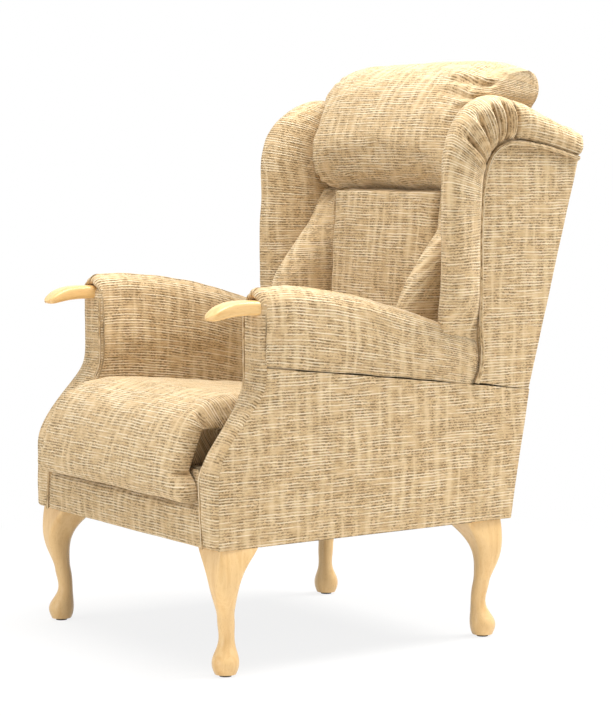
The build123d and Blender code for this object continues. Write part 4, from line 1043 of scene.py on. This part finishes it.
# %% Wing covers
def wing_cover(name, side):
    """A section starts at the piping, swells out over the roll, turns round the edge in a
    quarter-ellipse on each side of its tip and runs on to the inner crease. The front of the wing
    flares: its tip stands outside the panel. Pleats are sharp valleys that follow the rows, each
    cut by exp(-((t - t0)/w)^2) beside a rounded lip, and they fade out towards the edge. Behind the
    last pleat the cloth lies the other way, its weft along the band. A low dome closes the rear end,
    and the hidden sheet is the shown one, drawn in to 0.82 of it about the middle of the roll."""
    edge, piped, crease = (wing_line[:, 2 * k : 2 * k + 2] for k in range(3))
    outer_run = np.linalg.norm(piped - edge, axis=1)[:, None]
    inner_run = np.linalg.norm(crease - edge, axis=1)[:, None]
    t = wing_at[:, None]
    over_top = smoothstep(t, 0.50, 0.70)
    turn = np.linspace(0, np.pi / 2, 10)[None, :]
    outer_depth = np.minimum(0.030, 0.8 * outer_run)
    inner_depth = np.minimum(0.086 - 0.050 * over_top, 0.9 * inner_run)
    outer_arc = outer_depth * (1 - np.cos(turn))
    inner_arc = inner_depth * (1 - np.cos(turn))
    over_roll = np.sin(np.linspace(0, np.pi / 2, 13)[None, 1:])
    outer_far = (outer_depth + (outer_run - outer_depth) * over_roll)[:, ::-1]
    inner_far = inner_depth + (inner_run - inner_depth) * np.linspace(0, 1, 25)[None, 1:]
    outer_at = np.concatenate([outer_far, outer_arc[:, ::-1]], axis=1)
    inner_at = np.concatenate([inner_arc[:, 1:], inner_far], axis=1)
    (outer_y, outer_z), (inner_y, inner_z) = (
        [edge[:, k : k + 1] + (end - edge)[:, k : k + 1] * at / run for k in (0, 1)]
        for end, at, run in ((piped, outer_at, outer_run), (crease, inner_at, inner_run)))
    foot = smoothstep(edge[:, 1:], 0.575, 0.665)
    proud = (0.006 + 0.024 * foot) * (1 - 0.60 * smoothstep(t, 0.60, 0.95)) - 0.006 * (1 - foot) + 0.004
    past = ((outer_at - outer_depth) / (outer_run - outer_depth)).clip(0, 1)
    roll = proud * np.sqrt(1 - past**2)
    tip_x = outer_x(edge[:, :1]) + 0.014 * foot * (1 - over_top) - 0.008 * (1 - foot) - 0.012 * over_top
    valleys = sum(np.exp(-(((t - place) / valley_width) ** 2)) for place in pleat_places)
    lips = sum(np.exp(-(((t - place + lip_ahead) / lip_width) ** 2)) for place in pleat_places)
    across = (outer_at / outer_run).clip(0, 1)
    sunk = smoothstep(across, 0.05, 0.45) * (valley_depth * valleys - lip_height * lips * (1 - past**4))
    full_outer = outer_x(outer_y) + roll - 0.006 - sunk
    outer_bend = np.sin(turn)[:, ::-1] + 0 * outer_arc
    inner_bend = np.sin(turn)[:, 1:] ** 0.95 + 0 * inner_arc[:, 1:]
    outer_widen = np.concatenate([np.ones_like(outer_far), outer_bend], axis=1)
    inner_widen = np.concatenate([inner_bend, np.ones_like(inner_far)], axis=1)
    puff = 0.003 * np.sin(np.pi * (inner_at / inner_run).clip(0, 1))
    outer_side = tip_x + (full_outer - tip_x) * outer_widen
    inner_side = tip_x - (tip_x - inner_x(inner_y) + puff) * inner_widen
    face = np.stack([np.concatenate(pair, axis=1) for pair in
                     ((outer_side, inner_side), (outer_y, inner_y), (outer_z, inner_z))], axis=-1)
    steps_in = 6
    near_roll = outer_at.shape[1] + 9
    cap_turn = np.linspace(0, np.pi / 2, steps_in + 1)[1:]
    last = face[-1]
    heart = last[:near_roll].mean(axis=0)
    cap = heart + (last - heart)[None] * np.cos(cap_turn)[:, None, None]
    cap[..., 1] += 0.009 * np.sin(cap_turn)[:, None]
    face = np.concatenate([face, cap])
    core = face[:, :near_roll].mean(axis=1, keepdims=True)
    back = core + 0.82 * (face - core)
    walked = travelled(face, 1)
    along = travelled(edge, 0)
    along = np.concatenate([along, along[-1] + 0.006 * np.arange(1, steps_in + 1)])[:, None] + 0 * walked
    turned = np.arange(len(face)) > np.searchsorted(wing_at, pleat_places[-1])
    across_map = np.where(turned[:, None], along, walked)
    along_map = np.where(turned[:, None], walked, along)
    return stuffed(name, face * side, back * side, across_map, along_map)


make_pair("wing_cover", wing_cover, ["wing_roll", "inside_wing"], (0.0009, 0.08, 61), fill=0.6)


# %% [markdown]
# ## Outside wings
# A flat panel closes the outside of each wing, sunk below the roll, with a cord in the crease
# between them. Both must fit one curve. So one line is drawn for the cord, and the panel is
# stretched between it and the rear edge.

# %% Outside wings and their piping
piping_line = soften([
    (0.175, 0.4935), (0.186, 0.517), (0.1895, 0.545), (0.1870, 0.575), (0.1845, 0.603),
    (0.1845, 0.700), (0.1845, 0.790), (0.1865, 0.843), (0.1935, 0.880), (0.2035, 0.909),
    (0.222, 0.931), (0.250, 0.9435), (0.290, 0.9445), (0.350, 0.9355), (0.4310, 0.9155)], 120, 0.009)


def outside_wing(name, side):
    """Columns run from the piping to the rear edge, rows from the arm's seam up to the top corner,
    each pairing the same share of the two lines' lengths."""
    rear_top_z = 0.9115
    t = crowded(70, 0.6)
    share = np.linspace(0, 1, len(piping_line))
    front = np.stack([np.interp(t, share, piping_line[:, k]) for k in (0, 1)], axis=1)
    rear_z = seam_rear_z + (rear_top_z - seam_rear_z) * t**1.15
    rear = np.stack([rear_y(rear_z) - 0.002, rear_z], axis=1)
    s = crowded(22, 0.16)[None, :]
    y = front[:, :1] * (1 - s) + rear[:, :1] * s
    z = front[:, 1:] * (1 - s) + rear[:, 1:] * s
    run = np.linalg.norm(rear - front, axis=1)[:, None]
    rise = turned_edge(np.minimum(t, 1 - t)[:, None] * 0.6 + 0 * s, np.minimum(s, 1 - s) * run)
    middle = np.sin(np.pi * t)[:, None] ** 0.7 * np.sin(np.pi * s) ** 0.7
    face = np.stack([outer_x(y) - 0.005 * (1 - rise) + 0.003 * middle, y, z], axis=-1)
    back = np.stack([outer_x(y) - 0.005, y, z], axis=-1)
    return stuffed(name, face * side, back * side, y, z)


make_pair("outside_wing_cover", outside_wing, ["outside_wing"], (0.0004, 0.10, 62), fill=0.2)


def wing_piping(name, side):
    """A 9 mm cord in the crease between roll and panel, half sunk in it."""
    y, z = piping_line.T
    path = np.stack([outer_x(y) + 0.0042, y + 0.0020, z - 0.0010], axis=1)
    return tube(name, cord_rings(path, (1, 0, 0), 0.0046) * side)


make_pair("wing_piping_cover", wing_piping, ["wing_piping"])

# %% [markdown]
# ## Back and front panels
# The rear is one long panel that follows the lean, closed at the top by a padded roll behind the
# pillow. The front border covers the front rail below the cushion's lip. All three are made from
# the turned edges and loaf shapes of the pieces above, because they are sewn and nailed alike.


# %% Outside back, top roll and front border
def outside_back():
    """Rows rise along the lean from the bottom edge to the top roll, columns run across."""
    top_z = 0.9585
    t = crowded(80, 0.75)[:, None]
    s = crowded(50, 0.6)[None, :]
    z = base_z + (top_z - base_z) * t + 0 * s
    y = rear_y(z)
    half = outer_x(y) - 0.003
    rise = turned_edge(np.minimum(t, 1 - t) * (top_z - base_z) + 0 * s, np.minimum(s, 1 - s) * 2 * half)
    middle = np.sin(np.pi * t) ** 0.6 * np.sin(np.pi * s) ** 0.6
    x = half * (2 * s - 1)
    face = np.stack([x, y - 0.005 * (1 - rise) + 0.004 * middle, z], axis=-1)
    back = np.stack([x, y - 0.005, z], axis=-1)
    return stuffed("outside_back_cover", face, back, x, z)


rear_panel = outside_back()
settle(rear_panel, 0.0006, 0.15, 71)
finish_piece(rear_panel, "frame", ["outside_back"], fill=0.2)


def top_roll():
    """Rows go over the top rail from behind to the front, columns across. Both sheets swell away
    from their middle line by the loaf's rise."""
    rows, reach = 40, 0.2660
    line = soften([
        (0.4480, 0.950), (0.4540, 0.958), (0.4530, 0.968), (0.443, 0.9765), (0.418, 0.979),
        (0.394, 0.974), (0.386, 0.960), (0.388, 0.948)], rows, 0.005)
    hidden = soften([
        (0.4480, 0.950), (0.4460, 0.952), (0.4420, 0.955), (0.430, 0.957), (0.415, 0.957),
        (0.402, 0.955), (0.394, 0.951), (0.388, 0.948)], rows, 0.005)
    across, rise = loaf(2 * reach, 0.02, 6, 40)
    x = (across - reach)[None, :] * np.ones((rows, 1))
    middle = (line + hidden) / 2
    profiles = [middle[:, None] + (each - middle)[:, None] * rise[None, :, None]
                for each in (line, hidden)]
    face, back = (np.concatenate([x[..., None], profile], axis=-1) for profile in profiles)
    return stuffed("back_top_roll", face, back, x, travelled(line, 0)[:, None] + 0 * x)


roll = top_roll()
settle(roll, 0.0006, 0.08, 72)
finish_piece(roll, "frame", ["back_top_border"], fill=0.5)


def front_border():
    """Rows rise from the bottom edge to behind the cushion's lip, columns run across. The middle of
    the lower part swells out, and behind the lip the border is set back by 5.5 mm."""
    top_z = 0.366
    t = crowded(34, 0.14)[:, None]
    s = crowded(60, 0.54)[None, :]
    z = base_z + (top_z - base_z) * t + 0 * s
    half = facing_inner_x(z) - 0.0006
    rise = turned_edge(np.minimum(t, 1 - t) * (top_z - base_z) + 0 * s,
                       np.minimum(s, 1 - s) * 2 * half, 0.003)
    x = half * (2 * s - 1)
    seam_y = front_y + 0.0062
    swell = 0.0040 * np.sin(np.pi * np.clip(t / 0.54, 0, 1)) * np.sin(np.pi * s) ** 0.4
    set_back = 0.0055 * smoothstep(z, 0.295, 0.303)
    face_y = np.minimum(front_y + 0.006 * (1 - rise) - (swell - set_back), seam_y)
    face = np.stack([x, face_y, z], axis=-1)
    back = np.stack([x, front_y + 0.0065 + 0 * x, z], axis=-1)
    for sheet in (face, back):
        sheet[[0, -1], :, 1] = sheet[:, [0, -1], 1] = seam_y
    return stuffed("front_border_cover", face, back, x, z)


border = front_border()
settle(border, 0.0003, 0.10, 73)
finish_piece(border, "frame", ["front_border"], fill=0.2)
print("outside back, top roll and front border made")


# %% [markdown]
# ## Hand grips
# Each grip is one piece of beech, let into the arm. It is level where it leaves the arm, then its
# top falls in a long curve to a thin rounded tip, as a knuckle to push up on. A bevelled box would
# keep one radius all the way. So it is made as rings along its length, each a superellipse, whose
# edges stay softly rounded as it gets thinner.

# %% Hand grips
grip_stations = soften([
    # y, height of the underside, height of the top, width
    (-0.244, 0.6380, 0.6640, 0.0450), (-0.300, 0.6380, 0.6640, 0.0450),
    (-0.336, 0.6380, 0.6645, 0.0452), (-0.352, 0.6376, 0.6640, 0.0456),
    (-0.368, 0.6362, 0.6620, 0.0458), (-0.382, 0.6338, 0.6580, 0.0448),
    (-0.393, 0.6315, 0.6528, 0.0425), (-0.401, 0.6300, 0.6470, 0.0390),
    (-0.4065, 0.6300, 0.6420, 0.0335), (-0.4100, 0.6312, 0.6390, 0.0260),
    (-0.4118, 0.6330, 0.6365, 0.0150), (-0.4122, 0.6343, 0.6352, 0.0040)], 72, 0.003)


def hand_grip(name, side):
    """Superellipse rings: x = a |cos|^(2/n), z = b |sin|^(2/n), with n = 4.2 for a squarish section.
    Their middle is the arm's, 309 mm from the chair's."""
    turn = np.linspace(0, 2 * np.pi, 32, endpoint=False)[None, :]
    wide, tall = (np.sign(wave) * np.abs(wave) ** (2 / 4.2) for wave in (np.cos(turn), np.sin(turn)))
    y, low, top, width = (grip_stations[:, k][:, None] for k in range(4))
    x = 0.309 + width / 2 * wide
    z = (low + top) / 2 + (top - low) / 2 * tall
    return tube(name, np.stack([x, y + 0 * x, z], axis=-1) * side)


make_pair("hand_grip_shaped", hand_grip, ["hand_grip"], material=grip_beech, slot="beech")


# %% [markdown]
# ## Base cloth
# A black spun cloth is stapled under the seat frame against dust. It is cut from one rectangle that
# tapers with the body, with its corners taken out round the legs. It is stretched, so a grid with
# a few millimetres of sag shows all that it does, and a modifier gives it its thickness.

# %% Base cloth
def base_cloth():
    """A grid whose lines pass along the leg notches; cells inside a notch are left out: the first and
    last rows' outer four on each side. The middle sags by 4 mm."""
    notch = 0.086
    columns, notch_columns = 26, 4
    front, rear = -0.402, 0.263
    y = np.concatenate([[front], np.linspace(front + notch, rear - notch, 24), [rear]])
    s = np.linspace(-1, 1, columns + 1)
    half = outer_x(y)[:, None] - 0.008
    x = half * s[None, :]
    inner = np.abs(s) < 1 - 2 / columns * (notch_columns - 0.5)
    sag = -0.004 * np.sin(np.pi * (y - front) / (rear - front))[:, None] * np.cos(np.pi / 2 * s)[None, :]
    z = base_z - 0.0012 + sag
    points = np.stack([x, y[:, None] + 0 * x, z], axis=-1)
    place = np.arange(x.size).reshape(x.shape)
    cells = quads(place).reshape(len(y) - 1, len(s) - 1, 4)
    keep = np.ones(cells.shape[:2], bool)
    side_cells = ~(inner[:-1] & inner[1:])
    keep[0] &= ~side_cells
    keep[-1] &= ~side_cells
    faces = cells[keep][:, ::-1]
    used = np.unique(faces)
    renumber = np.full(x.size, -1)
    renumber[used] = np.arange(len(used))
    flat = points.reshape(-1, 3)
    cloth_map = flat[faces.ravel()][:, :2]
    made = new_object("base_cloth_sheet", flat[used], renumber[faces], cloth_map)
    from_first = flat[faces][:, 1:] - flat[faces][:, :1]
    area = np.linalg.norm(np.cross(from_first[:, :-1], from_first[:, 1:]), axis=-1).sum() / 2
    return made, float(2 * half.max()), rear - front, float(area)


dust_sheet, sheet_width, sheet_length, sheet_area = base_cloth()
thickness = dust_sheet.modifiers.new("Thickness", "SOLIDIFY")
thickness.thickness = 0.0006
thickness.offset = 0
finish_piece(dust_sheet, "frame", ["base_cloth"], finishes["base_cloth"], "base_cloth", levels=0)
print("base cloth, m2:", round(sheet_area, 4))

# %% [markdown]
# ## Floor and light
# The chair stands on a plain pale floor that fades into the backdrop. More light would turn both
# white, but the cloth would bleach with them. So the camera sees the floor and the world as near
# white by Light Path, and the lamps stay at a level where a colour renders as it is written.

# %% Floor
def seen_plainly(tree):
    """1 for a ray that comes from the camera, straight or by way of gloss or glass, else 0."""
    ray = node(tree, "LightPath").outputs
    by_way = node(tree, "Math", ray["Is Glossy Ray"], ray["Is Transmission Ray"], operation="MAXIMUM")
    return node(tree, "Math", ray["Is Camera Ray"], by_way, operation="MAXIMUM")


floor_half = 30  # metres
floor_corners = [(x * floor_half, y * floor_half, 0) for x, y in ((-1, -1), (1, -1), (1, 1), (-1, 1))]
floor_mesh = bpy.data.meshes.new("floor")
floor_mesh.from_pydata(floor_corners, [], [(0, 1, 2, 3)])
floor = bpy.data.objects.new("floor", floor_mesh)
scene.collection.objects.link(floor)
floor_material, floor_tree, floor_shader = new_material("pale_floor", 0.9)
floor_shader.inputs["Base Color"].default_value = linear("#F4F2EE")
white = node(floor_tree, "Emission", (1, 1, 1, 1), 1.0)
floor_place = node(floor_tree, "TexCoord").outputs["Object"]
reach = node(floor_tree, "VectorMath", floor_place, operation="LENGTH")
fade = node(floor_tree, "MapRange", reach.outputs["Value"], 0.5, 1.5, 0.84, 1.0,
            interpolation_type="SMOOTHSTEP")
share = node(floor_tree, "Math", seen_plainly(floor_tree), fade, operation="MULTIPLY")
mixed = node(floor_tree, "MixShader", share, floor_shader.outputs[0], white)
floor_tree.links.new(floor_tree.nodes["Material Output"].inputs["Surface"], mixed.outputs[0])
floor_mesh.materials.append(floor_material)
print("floor:", 2 * floor_half, "m square")

# %% World and lamps
ambient = 0.37  # the world's light on the object; what the camera sees of the world is white, 1
world = bpy.data.worlds.new("studio")
world.use_nodes = True
scene.world = world
sky = world.node_tree
background = sky.nodes["Background"]
background.inputs["Color"].default_value = (1, 1, 1, 1)
strength = node(sky, "Math", seen_plainly(sky), 1.0 - ambient, ambient, operation="MULTIPLY_ADD")
sky.links.new(background.inputs["Strength"], strength.outputs[0])


def softbox(name, place, target, size, power):
    """A square lamp at a place, turned to face a target."""
    data = bpy.data.lights.new(name, "AREA")
    data.size = size
    data.energy = power
    lamp = bpy.data.objects.new(name, data)
    place, target = np.array(place, float), np.array(target, float)
    back = (place - target) / np.linalg.norm(place - target)
    lamp.location = place
    lamp.rotation_euler = (math.acos(back[2]), 0, math.atan2(back[0], -back[1]))
    scene.collection.objects.link(lamp)


softbox("overhead_softbox", (0.2, -0.5, 3.4), (0, 0, 0.5), 2.0, 112)
softbox("rear_softbox", (0.6, 2.0, 3.2), (0, 0, 0.5), 1.6, 140)
softbox("front_fill", (0.2, -3.6, 0.95), (0, 0, 0.5), 2.2, 32)
softbox("near_fill", (3.3, 1.2, 1.9), (0, 0, 0.5), 2.2, 18)
scene.view_settings.view_transform = "Standard"
